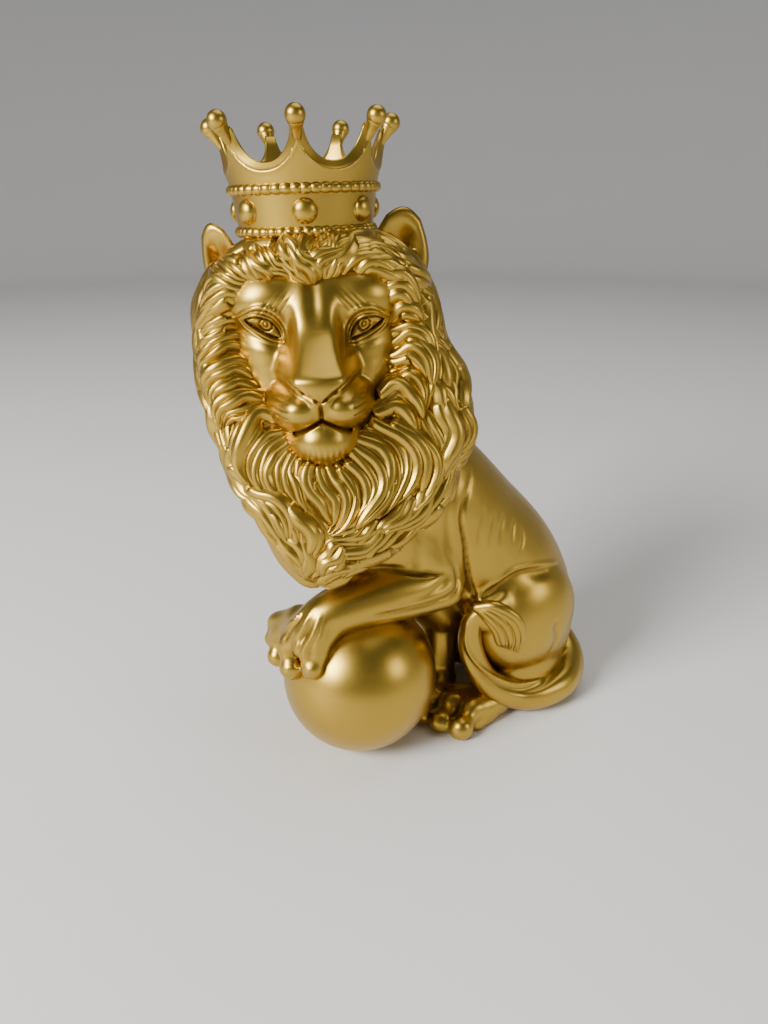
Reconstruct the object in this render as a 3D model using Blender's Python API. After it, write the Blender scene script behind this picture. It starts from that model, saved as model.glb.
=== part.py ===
"""A seated lion wearing a crown, its left forepaw on a ball, cast in one piece.

Metres, +Z up. The origin is on the floor below the middle of the casting's box, the face looks along -Y.
"""

import math

import bmesh
import bpy
import numpy as np
from mathutils import Matrix, Vector

# Driving sizes, in metres
FIGURE_HEIGHT = 0.1985  # floor to the crown's lower edge
BALL_RADIUS = 0.0314
BALL_FLAT = 0.0080  # radius of the flat that the ball stands on
CROWN_HEIGHT = 0.0404  # lower edge to the top of a point's ball
CROWN_FOOT_RADIUS = 0.0230  # outside of the band at its lower edge
CROWN_BAND_RADIUS = 0.0250  # outside of the band under the upper beads
CROWN_TIP_RADIUS = 0.0318  # axis of the crown to the middle of a point's ball
CROWN_WALL = 0.0032
CROWN_BAND_HEIGHT = 0.0159  # lower edge to the middle of the upper beads
CROWN_SCALLOP = 0.0048  # middle of the upper beads to the lowest point between two points
CROWN_CUP_FLOOR = 0.0050  # lower edge to the floor inside the crown
CROWN_SINK = 0.0150  # how far the crown's core reaches down into the head
BEAD_RADIUS = 0.0017
POINT_BALL_RADIUS = 0.0032
POINT_NECK = 0.0021  # half width of a point under its ball
STUD_RADIUS = 0.0039
STUD_RISE = 0.0026

# Counts
POINTS = 7
BEADS_PER_POINT = 6

# How fine the cast skins are: voxel as a share of the figure's height, triangles kept
BODY_VOXEL, BODY_FACES = FIGURE_HEIGHT / 120, 850
PAW_VOXEL, PAW_FACES = FIGURE_HEIGHT / 210, 1350
MANE_VOXEL, MANE_FACES = FIGURE_HEIGHT / 170, 2750
FACE_FACES = 950
SOLE_DEPTH = FIGURE_HEIGHT / 120  # how deep feet, rump and tail are cut flat by the floor

# Free forms are posed in units, with the crown's lower edge at 198.5 over the floor and the posing
# axis beside the middle of the casting, which is moved to the origin at the end
UNIT = FIGURE_HEIGHT / 198.5
MIDDLE = Vector((15.0 * UNIT, 0.7 * UNIT, 0))

GOLD = (0.72, 0.47, 0.16, 1.0)
GOLD_ROUGHNESS = 0.3

# The crown leans with the head; the ball stands on its flat
CROWN_TURN, CROWN_LEAN, CROWN_TIP_BACK = (math.radians(a) for a in (3.2, -1.8, 1.0))
CROWN_SEAT = (
    Matrix.Translation((-27.1 * UNIT, -5.4 * UNIT, FIGURE_HEIGHT))
    @ Matrix.Rotation(CROWN_LEAN, 4, "Y")
    @ Matrix.Rotation(-CROWN_TIP_BACK, 4, "X")
    @ Matrix.Rotation(CROWN_TURN, 4, "Z")
)
BALL_DEPTH = BALL_RADIUS - math.sqrt(BALL_RADIUS**2 - BALL_FLAT**2)
BALL_CENTRE = Vector((-10 * UNIT, -24 * UNIT, BALL_RADIUS - BALL_DEPTH))


# The head's own axes: across the face, up the face and out of the face

HEAD_CENTRE = np.array([-22.6, -37.0, 174.4])  # between the eyes, in units
HEAD_YAW, HEAD_PITCH, HEAD_ROLL = (math.radians(a) for a in (4.5, 6, -2.4))
HEAD_AXES = np.array(
    Matrix.Rotation(HEAD_YAW, 3, "Z")
    @ Matrix.Rotation(-HEAD_PITCH, 3, "X")
    @ Matrix.Rotation(HEAD_ROLL, 3, "Y")
)
ACROSS, UP, OUT = HEAD_AXES[:, 0], HEAD_AXES[:, 2], -HEAD_AXES[:, 1]


def from_head(a, b, c):
    """Points in units from distances across, up and out of the face."""
    a, b, c = np.broadcast_arrays(a, b, c)
    return HEAD_CENTRE + a[..., None] * ACROSS + b[..., None] * UP + c[..., None] * OUT


def smooth_path(stations, steps):
    """Catmull-Rom curve through the stations, steps points for each span."""
    p = np.array(stations, float)
    p = np.vstack([2 * p[0] - p[1], p, 2 * p[-1] - p[-2]])
    out = []
    for i in range(1, len(p) - 2):
        for t in np.arange(steps) / steps:
            out.append(
                0.5
                * (
                    2 * p[i]
                    + (p[i + 1] - p[i - 1]) * t
                    + (2 * p[i - 1] - 5 * p[i] + 4 * p[i + 1] - p[i + 2]) * t**2
                    + (3 * p[i] - p[i - 1] - 3 * p[i + 1] + p[i + 2]) * t**3
                )
            )
    return np.array(out + [p[-2]])


def add_loft(bm, rings):
    """A closed skin over rings of points, with a point in the middle of each end."""
    rows = [[bm.verts.new(Vector(p) * UNIT) for p in ring] for ring in rings]
    count = len(rows[0])
    for low, high in zip(rows, rows[1:]):
        for i in range(count):
            j = (i + 1) % count
            bm.faces.new((low[i], low[j], high[j], high[i]))
    for row, ring, turn in ((rows[0], rings[0], -1), (rows[-1], rings[-1], 1)):
        pole = bm.verts.new(Vector(np.mean(ring, axis=0)) * UNIT)
        for i in range(count):
            corner = (row[i], row[(i + 1) % count], pole)
            bm.faces.new(corner[::turn])


def add_tube(bm, stations, sides=14, steps=4):
    """A limb: a round section carried along a smooth path, its ends domed. Stations are x, y, z, radius."""
    path = smooth_path(stations, steps)
    first, last = path[0].copy(), path[-1].copy()
    along = np.gradient(path[:, :3], axis=0)
    along /= np.linalg.norm(along, axis=1)[:, None]
    for end, way in ((first, -along[0]), (last, along[-1])):
        end[:3] += way * end[3] * 0.75
        end[3] *= 0.55
    path = np.vstack([first, path, last])
    along = np.vstack([along[0], along, along[-1]])
    side = np.cross(along[0], (0.3, 0.5, 0.8))
    rings = []
    for (x, y, z, radius), way in zip(path, along):
        side -= way * (side @ way)
        side /= np.linalg.norm(side)
        other = np.cross(way, side)
        turn = np.arange(sides) * 2 * math.pi / sides
        ring = np.outer(np.cos(turn), side) + np.outer(np.sin(turn), other)
        rings.append(np.array([x, y, z]) + radius * ring)
    add_loft(bm, rings)


def add_ellipsoid(bm, centre, radii, heading=0.0):
    """An ellipsoid of flesh, turned about the vertical by heading degrees."""
    place = (
        Matrix.Translation(Vector(centre) * UNIT)
        @ Matrix.Rotation(math.radians(heading), 4, "Z")
        @ Matrix.Diagonal((*(r * UNIT for r in radii), 1))
    )
    bmesh.ops.create_uvsphere(bm, u_segments=24, v_segments=16, radius=1, matrix=place)


# Body: trunk, haunches, legs and tail

HEADING = 34.0  # degrees that the lion's body is turned from the -X direction towards the viewer
TRUNK = (
    (-18, 0, 150, 24),
    (-6, 0, 124, 26),
    (13, 3, 101, 28),
    (28, 11, 80, 28.5),
    (45, 19, 58, 29.5),
    (56, 24, 36, 30),
    (60, 26, 18, 28),
)
CHEST = ((-8, -14, 104, 20), (0, -12, 84, 20), (8, -4, 64, 16), (18, 6, 50, 14))
NEAR_THIGH = ((64, 3, 37), (25, 18, 28))
FAR_THIGH = ((44, 40, 34), (25, 16, 28))
NEAR_SHOULDER = ((14, -8, 93), (17, 13, 26))
FAR_SHOULDER = ((-4, 20, 93), (17, 13, 26))
NEAR_SHIN = ((50, 0, 42, 12), (52, -1, 28, 9), (58, -6, 12, 7), (60, -8, 8, 6))
FAR_SHIN = ((26, 31, 42, 12), (26, 32, 26, 9), (34, 30, 12, 8), (38, 28, 8, 7))
STANDING_LEG = ((6, 12, 84, 13), (12, 10, 58, 11), (14, 6, 34, 8.5), (12, 2, 14, 8), (10, -2, 8, 7.5))
UPPER_ARM = ((13, -11, 100, 16), (15, -14, 85, 15.5), (18, -17, 71, 13))
TAIL = (
    (74, 46, 14, 9),
    (87, 34, 10, 7.6),
    (90, 14, 9, 7.2),
    (79, -5, 8.5, 7),
    (64, -14, 9.5, 6.8),
    (50, -19, 16, 6.4),
    (38, -19, 29, 5.8),
    (33, -17, 41, 5.2),
    (34, -15, 50, 4.6),
    (39, -15, 55.5, 4.2),
)
TUFT_WAYS = (-5.5, -2, 1.5, 5)  # how far each strand of the tail's tuft fans out


def add_toes(bm, root, ends, lift, radius):
    """Toes from one root: each rises to a knuckle, dips and swells again at its rounded end."""
    root = np.array(root, float)
    for end in np.array(ends, float):
        way = end - root
        rise = np.array([0, 0, lift])
        add_tube(
            bm,
            (
                (*root, radius * 1.3),
                (*(root + way * 0.55 + rise), radius * 1.1),
                (*(root + way * 0.8 + rise * 0.55), radius * 0.9),
                (*end, radius * 1.08),
            ),
            sides=10,
            steps=3,
        )


def floor_paw(bm, ankle, heading, radius):
    """A paw flat on the floor: four toes side by side, the middle two longest."""
    ends = []
    for place in (-1.5, -0.5, 0.5, 1.5):
        turn = math.radians(heading)
        reach, aside = 17 - 1.4 * abs(place), place * radius * 1.5
        x = ankle[0] - reach * math.cos(turn) - aside * math.sin(turn)
        y = ankle[1] - reach * math.sin(turn) + aside * math.cos(turn)
        ends.append((x, y, radius))
    add_toes(bm, ankle, ends, radius * 0.5, radius)
    add_ellipsoid(bm, ankle, (11, radius * 2.4, radius * 1.9), heading)


def on_ball(azimuth, elevation, clearance):
    """A point in units over the ball, at a direction in degrees and a distance from its surface."""
    az, el = math.radians(azimuth), math.radians(elevation)
    way = Vector((math.sin(az) * math.cos(el), -math.cos(az) * math.cos(el), math.sin(el)))
    return (BALL_CENTRE + way * BALL_RADIUS) / UNIT + way * clearance


# The raised leg over the ball: direction over the ball, distance from it, radius
FOREARM = (
    (102, 48, 18.3, 11.5),
    (96, 61, 11.1, 10.5),
    (70, 76, 5.8, 10.3),
    (-21, 77, 5.4, 10.6),
    (-49, 65, 7.6, 10.2),
    (-57, 54, 9.0, 9.2),
)
TOE_ROOT = (-57, 57, 9.5)
# Each toe: its knuckle and its end
TOES = (
    ((-78, 54, 14.5), (-79, 45, 14.0)),
    ((-72, 41, 11.6), (-74, 29, 7.6)),
    ((-57, 40, 9.4), (-60, 26, 4.0)),
    ((-34, 47, 6.8), (-39, 29, 2.8)),
)


def add_raised_leg(bm):
    """The left foreleg: its forearm lies across the ball and its paw hangs over the ball's side."""
    add_tube(bm, [(*on_ball(az, el, off), r) for az, el, off, r in FOREARM], steps=5)
    root = on_ball(*TOE_ROOT)
    for knuckle, end in TOES:
        knuckle, end = on_ball(*knuckle), on_ball(*end)
        dip = knuckle.lerp(end, 0.5)
        stations = ((*root, 6.5), (*root.lerp(knuckle, 0.55), 5.2), (*knuckle, 4.9), (*dip, 3.9), (*end, 4.4))
        add_tube(bm, stations, sides=10, steps=3)


def add_tuft(bm):
    """The tuft that ends the tail: strands that fan out over the thigh."""
    for way in TUFT_WAYS:
        add_tube(
            bm,
            (
                (39, -16, 56, 4.2),
                (47 + way * 0.2, -19, 56 + way * 0.5, 4.6),
                (53 + way * 0.7, -20.5, 50 + way * 0.5, 4.4),
                (56 + way * 0.9, -20.5, 42, 3.4),
                (56 + way * 0.9, -18.5, 34 - way * 0.4, 1.2),
            ),
            sides=8,
            steps=3,
        )


def add_body(bm):
    add_tube(bm, TRUNK, sides=24, steps=4)
    for centre, radii in (NEAR_THIGH, FAR_THIGH, NEAR_SHOULDER, FAR_SHOULDER):
        add_ellipsoid(bm, centre, radii, HEADING)
    for stations in (CHEST, NEAR_SHIN, FAR_SHIN, STANDING_LEG, UPPER_ARM, TAIL):
        add_tube(bm, stations)


def add_paws(bm):
    add_raised_leg(bm)
    floor_paw(bm, (41, -14.5, 7.5), HEADING, 3.5)
    floor_paw(bm, (24, 22, 7.5), HEADING, 3.5)
    floor_paw(bm, (17, 2, 7.5), HEADING + 6, 3.5)
    add_tuft(bm)


# Face: a height over the face's own plane, from cross-sections, soft domes and carved lines

FACE_HALF_WIDTH, FACE_TOP, FACE_FOOT, FACE_BACK = 28, 21, -48, -34
# Cross-sections from forehead to chin: height up the face, how far out its middle stands, half width
# of the middle, width of the slope beside it, how far out the cheek stands, half width of the face
FACE_SECTIONS = (
    (22, -6.5, 7, 9, -9, 28),
    (14, -1.5, 7.5, 8, -3.2, 27.5),
    (8, 1.2, 6.4, 6, -2.0, 27),
    (3, 2.6, 5.2, 5.4, -4.4, 26.5),
    (-2, 4.6, 4.6, 6.2, -5.2, 26),
    (-7, 9, 4.8, 7.2, -3.6, 25.5),
    (-12, 14.2, 5.8, 8, -4.6, 25),
    (-15.6, 18.4, 7.6, 6, -6.4, 24.5),
    (-17.4, 19, 7.6, 4.5, -7.6, 24),
    (-23, 16.6, 2, 6, -8.5, 22.5),
    (-28, 12.5, 5, 8, -9.5, 21),
    (-33, 10, 6, 7, -11, 19),
    (-39, 9, 6, 6, -13, 17),
    (-48, -4, 5, 6, -18, 15),
)
CHEEK_FALL = 11.0
# Whisker pads, brow and chin: middle across and up, how far out, half sizes, steepness of the rim
FACE_MOUNDS = (
    (6.9, -26.0, 16.2, 8.6, 6.8, 7.5),
    (11, -25.6, 11.5, 6, 6, 8),
    (0, -37.6, 12.6, 8.8, 7.6, 6),
    (13.5, 8.5, -0.7, 9, 6, 3.5),
)
EYE_ACROSS, EYE_UP = 17.0, -0.6
EYE_SLANT = math.radians(31)
EYE_LENGTH, EYE_OPENING = 7.0, 3.3  # half length and half height


def smooth_columns(table, at):
    """Every column of a table at the places asked for, along smooth curves through its rows."""
    knots = np.array(table, float)[::-1]
    x, y = knots[:, 0], knots[:, 1:]
    slope = np.gradient(y, x, axis=0)
    at = np.clip(at, x[0], x[-1])
    i = np.clip(np.searchsorted(x, at, side="right") - 1, 0, len(x) - 2)
    span = (x[i + 1] - x[i])[..., None]
    t = (at - x[i])[..., None] / span
    ease = t * t * (3 - 2 * t)
    bend = t * (1 - t) ** 2 * slope[i] * span - t * t * (1 - t) * slope[i + 1] * span
    return np.moveaxis(y[i] * (1 - ease) + y[i + 1] * ease + bend, -1, 0)


def groove(distance, width, depth):
    return depth * np.exp(-((distance / width) ** 2))


def face_height(a, b):
    """How far the face stands out at a across and b up, in units."""
    a = np.abs(a)
    middle, bridge, slope, cheek, half = smooth_columns(FACE_SECTIONS, b)
    fall = np.clip((a - bridge) / slope, 0, 1)
    fall = fall * fall * (3 - 2 * fall)
    side = cheek - CHEEK_FALL * np.clip(2 * a / half - 1, 0, 2) ** 2.2
    heights = [(middle - 0.8 * (a / 7) ** 2) * (1 - fall) + side * fall]
    for a0, b0, out, ra, rb, rim in FACE_MOUNDS:
        heights.append(out - rim * (((a - a0) / ra) ** 2 + ((b - b0) / rb) ** 2) ** 1.25)
    c = 0.8 * np.log(sum(np.exp(height / 0.8) for height in heights))
    c -= groove(a, 2.2, 1.0) * np.clip((b + 2) / 8, 0, 1)
    along = (a - EYE_ACROSS) * math.cos(EYE_SLANT) + (b - EYE_UP) * math.sin(EYE_SLANT)
    rise = (b - EYE_UP) * math.cos(EYE_SLANT) - (a - EYE_ACROSS) * math.sin(EYE_SLANT)
    c -= 1.6 * np.exp(-(((along + 3) / 7) ** 2) - (rise / 5) ** 2)
    half_open = EYE_OPENING * np.sqrt(np.maximum(1 - (along / EYE_LENGTH) ** 2, 0))
    inside = np.clip((half_open - np.abs(rise)) / EYE_OPENING, 0, 1)
    lid = np.abs(rise) - half_open + np.maximum(np.abs(along) - EYE_LENGTH, 0)
    c += groove(lid - 0.6, 0.8, 1.3) + 1.8 * np.sqrt(inside) - 0.9 * (inside > 0)
    mouth = np.abs(b + 29.8 + 0.5 * np.minimum(a, 9)) + np.maximum(a - 9.5, 0)
    c -= groove(mouth, 0.8, 2.4)
    c -= groove(a, 0.8, 1.8) * np.exp(-(((b + 26.5) / 3.4) ** 2))
    nostril = np.hypot(a - 5.4, (b + 20.6 - 0.45 * (a - 5.4)) * 1.8)
    wing = np.hypot(a - 9.6, b + 17)
    return c - groove(nostril, 2.4, 2.6) - groove(wing, 1.3, 1.8)


def add_face(bm):
    """The face as a closed block: its front is the height over a grid, its back is flat inside the head."""
    a, b = np.meshgrid(
        np.arange(-FACE_HALF_WIDTH, FACE_HALF_WIDTH + 1.0), np.arange(FACE_FOOT, FACE_TOP + 1.0)
    )
    front = from_head(a, b, np.maximum(face_height(a, b), FACE_BACK + 2))
    back = from_head(a, b, FACE_BACK)
    rows, columns = a.shape
    sheets = [[[bm.verts.new(Vector(p) * UNIT) for p in row] for row in sheet] for sheet in (front, back)]
    for sheet, turn in zip(sheets, (1, -1)):
        for i in range(rows - 1):
            for j in range(columns - 1):
                corners = (sheet[i][j], sheet[i][j + 1], sheet[i + 1][j + 1], sheet[i + 1][j])
                bm.faces.new(corners[::turn])
    rim = [(0, j) for j in range(columns)] + [(i, columns - 1) for i in range(1, rows)]
    rim += [(rows - 1, j) for j in range(columns - 2, -1, -1)] + [(i, 0) for i in range(rows - 2, 0, -1)]
    for (i, j), (k, m) in zip(rim, rim[1:] + rim[:1]):
        bm.faces.new((sheets[0][k][m], sheets[0][i][j], sheets[1][i][j], sheets[1][k][m]))


# Ears: middle across and up the face, and lean in degrees
EARS = ((-28.5, 23, -14), (32, 26, 14))
EAR_ACROSS, EAR_UP, EAR_OUT, EAR_DISH = 8.6, 12.5, 5.0, 6.5


def add_ears(bm):
    """Two round ears, each an oval dished at the front."""
    turn = np.arange(24) * 2 * math.pi / 24
    for middle, height, lean in EARS:
        lean = math.radians(lean)
        rings = []
        for level in np.linspace(0.06, math.pi - 0.06, 15):
            across = EAR_ACROSS * math.sin(level) * np.cos(turn)
            up = EAR_UP * math.sin(level) * np.sin(turn)
            dish = EAR_DISH * math.exp(-((math.sin(level) / 0.62) ** 2)) * (level > math.pi / 2)
            a = middle + across * math.cos(lean) + up * math.sin(lean)
            b = height + up * math.cos(lean) - across * math.sin(lean)
            out = -EAR_OUT * math.cos(level) - dish
            rings.append(from_head(a, b, -27 + out - 0.3 * across * np.sign(middle)))
        add_loft(bm, rings)


# Mane: a ruff lofted from the face's edge over its widest outline to the nape, locks laid on it

# Each outline: angle from the top in degrees, distance from the middle of the face, how far out
FACE_EDGE = (
    (0, 27, -7),
    (20, 31, -9),
    (45, 32.5, -12),
    (65, 31, -15),
    (85, 28, -16),
    (107, 26, -13),
    (127, 25, -8),
    (152, 27, -2),
    (167, 32, 2),
    (180, 34, 3),
    (193, 32, 2),
    (208, 27, -2),
    (233, 25, -8),
    (253, 26, -13),
    (275, 28, -16),
    (295, 31, -15),
    (315, 32.5, -12),
    (340, 31, -9),
)
MANE_EDGE = (
    (0, 34, -26),
    (30, 39, -24),
    (50, 44, -23),
    (70, 45, -21),
    (88, 46, -19),
    (106, 52, -17),
    (123, 61, -14),
    (134, 64, -11),
    (147, 69, -6),
    (160, 71, -2),
    (172, 72, 1),
    (184, 78, 2),
    (193, 69, 1),
    (203, 59, -1),
    (219, 48, -6),
    (249, 40, -14),
    (272, 40, -19),
    (307, 42, -22),
    (332, 37, -25),
)
NAPE = (9, -24, -66)  # where the ruff closes at the back of the neck
RUFF_SWELL = 4.0
MANE_MIDDLE = -10.0  # height on the face that the outlines turn about
BEARD_TIP = from_head(-8.0, -102.0, 4.0)  # where the locks under the chin run together
# Rows of locks: share they start at, how many, length, half width, thickness, curl
LOCK_ROWS = (
    (0.04, 22, 20, 4.0, 3.4, 0.35),
    (0.34, 25, 25, 4.7, 4.0, 0.5),
    (0.68, 25, 27, 5.2, 4.2, 0.55),
    (1.02, 23, 30, 5.6, 4.2, 0.5),
    (1.26, 19, 30, 6.0, 4.0, 0.4),
    (1.5, 14, 28, 6.2, 3.8, 0.35),
    (1.74, 8, 26, 6.2, 3.4, 0.3),
)


def outline(edge, turn):
    """Distance and depth of an outline at angles in degrees, along a smooth closed curve."""
    knots = np.array(edge, float)
    around = np.concatenate([knots[:, 0] - 360, knots[:, 0], knots[:, 0] + 360])
    values = np.vstack([knots[:, 1:]] * 3)
    turn = np.mod(turn, 360)
    i = np.searchsorted(around, turn, side="right") - 1
    span = (around[i + 1] - around[i])[..., None]
    t = (turn - around[i])[..., None] / span
    slope = (values[2:] - values[:-2]) / (around[2:] - around[:-2])[:, None]
    ease = t * t * (3 - 2 * t)
    curve = values[i] * (1 - ease) + values[i + 1] * ease
    curve += t * (1 - t) ** 2 * slope[i - 1] * span - t * t * (1 - t) * slope[i] * span
    return curve[..., 0], curve[..., 1]


def mane_point(turn, share):
    """A point of the ruff: share 0 is the face's edge, 1 the widest outline and 2 the nape."""
    turn, share = np.broadcast_arrays(np.asarray(turn, float), np.asarray(share, float))
    (face_r, face_c), (mane_r, mane_c) = (outline(edge, turn) for edge in (FACE_EDGE, MANE_EDGE))
    front = np.clip(share, 0, 1) * math.pi / 2
    back = np.clip(share - 1, 0, 1) * math.pi / 2
    r = np.where(share < 1, face_r + (mane_r - face_r) * np.sin(front), mane_r * np.cos(back) ** 0.8)
    c = np.where(
        share < 1,
        mane_c + (face_c - mane_c) * np.cos(front) + RUFF_SWELL * np.sin(2 * front),
        mane_c + (NAPE[2] - mane_c) * np.sin(back),
    )
    angle, drift = np.radians(turn), 1 - np.cos(back)
    across = r * np.sin(angle) + NAPE[0] * drift
    return from_head(across, MANE_MIDDLE + r * np.cos(angle) + (NAPE[1] - MANE_MIDDLE) * drift, c)


def unit_rows(v):
    return v / np.linalg.norm(v, axis=-1, keepdims=True)


def lock_way(here, normal, turn, share, stride, curl):
    """Way a lock runs at a point: out from the face in front, down the neck behind, to the beard's tip."""
    angle = np.radians(turn)
    behind = np.clip(share - 0.9, 0, 1)
    outward = (np.sin(angle) * (1 - behind))[:, None] * ACROSS
    outward += (np.cos(angle) * (1 - behind) - 2 * behind)[:, None] * UP
    aside = np.sign(np.sin(angle)) * np.maximum(np.cos(angle), 0) * 0.4
    pull = np.clip((1 - np.cos(angle)) * 0.9 + 0.3 * share + 0.5 * stride - 0.35, 0, 3)
    way = outward + aside[:, None] * ACROSS + pull[:, None] * unit_rows(BEARD_TIP - here)
    way = unit_rows(way - normal * np.sum(way * normal, axis=1)[:, None])
    wave = curl * np.sin(turn * 0.11 + 5.2 * stride)
    return way + np.cross(normal, way) * wave[:, None]


def lock_paths(start, share, length, curl, steps):
    """Paths over the ruff and the ruff's own outward directions along them."""
    turn, share = np.array(start, float), np.full(len(start), share, float)
    path, normals = [], []
    for k in range(steps + 1):
        here = mane_point(turn, share)
        by_turn = (mane_point(turn + 1, share) - mane_point(turn - 1, share)) / 2
        by_share = (mane_point(turn, share + 0.01) - mane_point(turn, share - 0.01)) / 0.02
        normal = unit_rows(np.cross(by_share, by_turn))
        path.append(here)
        normals.append(normal)
        way = lock_way(here, normal, turn, share, k / steps, curl) * length / steps
        tt, ts, ss = (np.sum(u * v, 1) for u, v in ((by_turn, by_turn), (by_turn, by_share), (by_share, by_share)))
        wt, ws = np.sum(way * by_turn, 1), np.sum(way * by_share, 1)
        spread = tt * ss - ts**2 + 1e-6
        turn = turn + (wt * ss - ws * ts) / spread
        share = np.clip(share + (ws * tt - wt * ts) / spread, 0, 1.85)
    return np.array(path).transpose(1, 0, 2), np.array(normals).transpose(1, 0, 2)


def add_lock(bm, path, normals, half_width, thickness):
    """One lock: an oval section carried along its path, full near its root and pointed at its tip."""
    along = unit_rows(np.gradient(path, axis=0))
    turn = np.arange(8) * 2 * math.pi / 8
    rings = []
    for k, (p, way, normal) in enumerate(zip(path, along, normals)):
        t = k / (len(path) - 1)
        full = max(math.sin(math.pi * (0.1 + 0.9 * t) ** 0.75) ** 0.75, 0.08) if t < 1 else 0.08
        oval = np.outer(np.cos(turn), np.cross(way, normal)) * half_width * full
        oval += np.outer(np.sin(turn), normal) * thickness * full
        rings.append(p + normal * thickness * (0.35 * t - 0.1) + oval)
    add_loft(bm, rings)


def add_mane(bm):
    turn = np.arange(60) * 6.0
    shares = np.concatenate([np.linspace(0, 1, 8), np.linspace(1.1, 1.97, 9)])
    add_loft(bm, [mane_point(turn, share) for share in shares])
    for row, (share, count, length, half_width, thickness, curl) in enumerate(LOCK_ROWS):
        start = (np.arange(count) + 0.5 * (row % 2)) * 360 / count
        for path, normals in zip(*lock_paths(start, share, length, curl, 9)):
            add_lock(bm, path, normals, half_width, thickness)


# Crown: an open band with seven points, turned about its own axis


def crown_point(angle, radius, height):
    """A point of the crown, the angle counted from its front point."""
    return CROWN_SEAT @ Vector((radius * math.sin(angle), -radius * math.cos(angle), height))


def crown_edge(angle):
    """Height of the crown's upper edge: a bay between each two points."""
    low = CROWN_BAND_HEIGHT + CROWN_SCALLOP
    high = CROWN_HEIGHT - 1.5 * POINT_BALL_RADIUS
    half_pitch = math.pi / POINTS
    from_point = abs((angle + half_pitch) % (2 * half_pitch) - half_pitch)
    neck = POINT_NECK / CROWN_TIP_RADIUS
    across = min(max((from_point - neck) / (half_pitch - neck), 0), 1)
    return low + (high - low) * (1 - math.sqrt(1 - (1 - across) ** 2.2))


def crown_outside(height):
    """Outer radius of the crown at a height over its lower edge."""
    if height < CROWN_BAND_HEIGHT:
        return CROWN_FOOT_RADIUS + (CROWN_BAND_RADIUS - CROWN_FOOT_RADIUS) * height / CROWN_BAND_HEIGHT
    share = (height - CROWN_BAND_HEIGHT) / (CROWN_HEIGHT - POINT_BALL_RADIUS - CROWN_BAND_HEIGHT)
    return CROWN_BAND_RADIUS + (CROWN_TIP_RADIUS - CROWN_BAND_RADIUS) * share**1.2


def add_crown(bm):
    """Wall, beaded rings and the floor inside as one turned skin, its upper edge cut in bays."""
    columns = []
    count = 2 * POINTS * BEADS_PER_POINT
    for step in range(count):
        angle = step * 2 * math.pi / count
        edge = crown_edge(angle)
        swell = BEAD_RADIUS * (1.0 if step % 2 == 0 else 0.4)
        outer = []
        for middle in (BEAD_RADIUS, CROWN_BAND_HEIGHT):
            base = crown_outside(middle)
            outer += [(base, middle - BEAD_RADIUS), (base + swell, middle), (base, middle + BEAD_RADIUS)]
        outer += [(crown_outside(edge), edge - CROWN_WALL * 0.2)]
        inner = [(crown_outside(edge) - CROWN_WALL * 0.8, edge)]
        inner += [(crown_outside(CROWN_CUP_FLOOR) - CROWN_WALL, CROWN_CUP_FLOOR)]
        columns.append([bm.verts.new(crown_point(angle, r, z)) for r, z in outer + inner])
    poles = [bm.verts.new(crown_point(0, 0, z)) for z in (-CROWN_SINK, CROWN_CUP_FLOOR)]
    for left, right in zip(columns, columns[1:] + columns[:1]):
        for k in range(len(left) - 1):
            bm.faces.new((left[k], right[k], right[k + 1], left[k + 1]))
        bm.faces.new((right[0], left[0], poles[0]))
        bm.faces.new((left[-1], right[-1], poles[1]))


def add_crown_trim(bm):
    """A ball on each point and a domed stud below it on the band."""
    stud_height = 0.6 * CROWN_BAND_HEIGHT
    for k in range(POINTS):
        angle = k * 2 * math.pi / POINTS
        ball = crown_point(angle, CROWN_TIP_RADIUS, CROWN_HEIGHT - POINT_BALL_RADIUS)
        bmesh.ops.create_uvsphere(
            bm, u_segments=9, v_segments=6, radius=POINT_BALL_RADIUS, matrix=Matrix.Translation(ball)
        )
        stud = crown_point(angle, crown_outside(stud_height), stud_height)
        way = stud - crown_point(0, 0, stud_height)
        place = (
            Matrix.Translation(stud)
            @ way.to_track_quat("Z", "Y").to_matrix().to_4x4()
            @ Matrix.Diagonal((STUD_RADIUS, STUD_RADIUS, STUD_RISE, 1))
        )
        bmesh.ops.create_uvsphere(bm, u_segments=10, v_segments=6, radius=1, matrix=place)


# Casting: skins over body and mane, the face, the ball and the crown joined in one solid


def gold():
    """Satin gold paint over the whole casting."""
    material = bpy.data.materials.new("gold_paint")
    material.use_nodes = True
    shader = material.node_tree.nodes["Principled BSDF"]
    shader.inputs["Base Color"].default_value = GOLD
    shader.inputs["Metallic"].default_value = 1.0
    shader.inputs["Roughness"].default_value = GOLD_ROUGHNESS
    return material


def make_object(name, *builders):
    bm = bmesh.new()
    for build in builders:
        build(bm)
    bmesh.ops.recalc_face_normals(bm, faces=bm.faces)
    bmesh.ops.translate(bm, verts=bm.verts, vec=-MIDDLE)
    mesh = bpy.data.meshes.new(name)
    bm.to_mesh(mesh)
    bm.free()
    obj = bpy.data.objects.new(name, mesh)
    bpy.context.scene.collection.objects.link(obj)
    return obj


def make_tool(name, *builders):
    """A shape that the casting is joined to or cut with, and that isn't a piece of its own."""
    obj = make_object(name, *builders)
    obj.hide_render = True
    obj.display_type = "WIRE"
    return obj


def wrap(obj, voxel):
    """Runs one smooth skin over all the overlapping forms of an object."""
    skin = obj.modifiers.new("skin", "REMESH")
    skin.mode = "VOXEL"
    skin.voxel_size = voxel
    soften = obj.modifiers.new("soften", "SMOOTH")
    soften.factor = 0.5
    soften.iterations = 2


def thin(obj, faces):
    """Keeps about this many triangles of an object's skin."""
    bpy.context.view_layer.update()
    mesh = obj.evaluated_get(bpy.context.evaluated_depsgraph_get()).data
    triangles = sum(len(face.vertices) - 2 for face in mesh.polygons)
    modifier = obj.modifiers.new("thin", "DECIMATE")
    modifier.ratio = min(1.0, faces / triangles)


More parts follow.
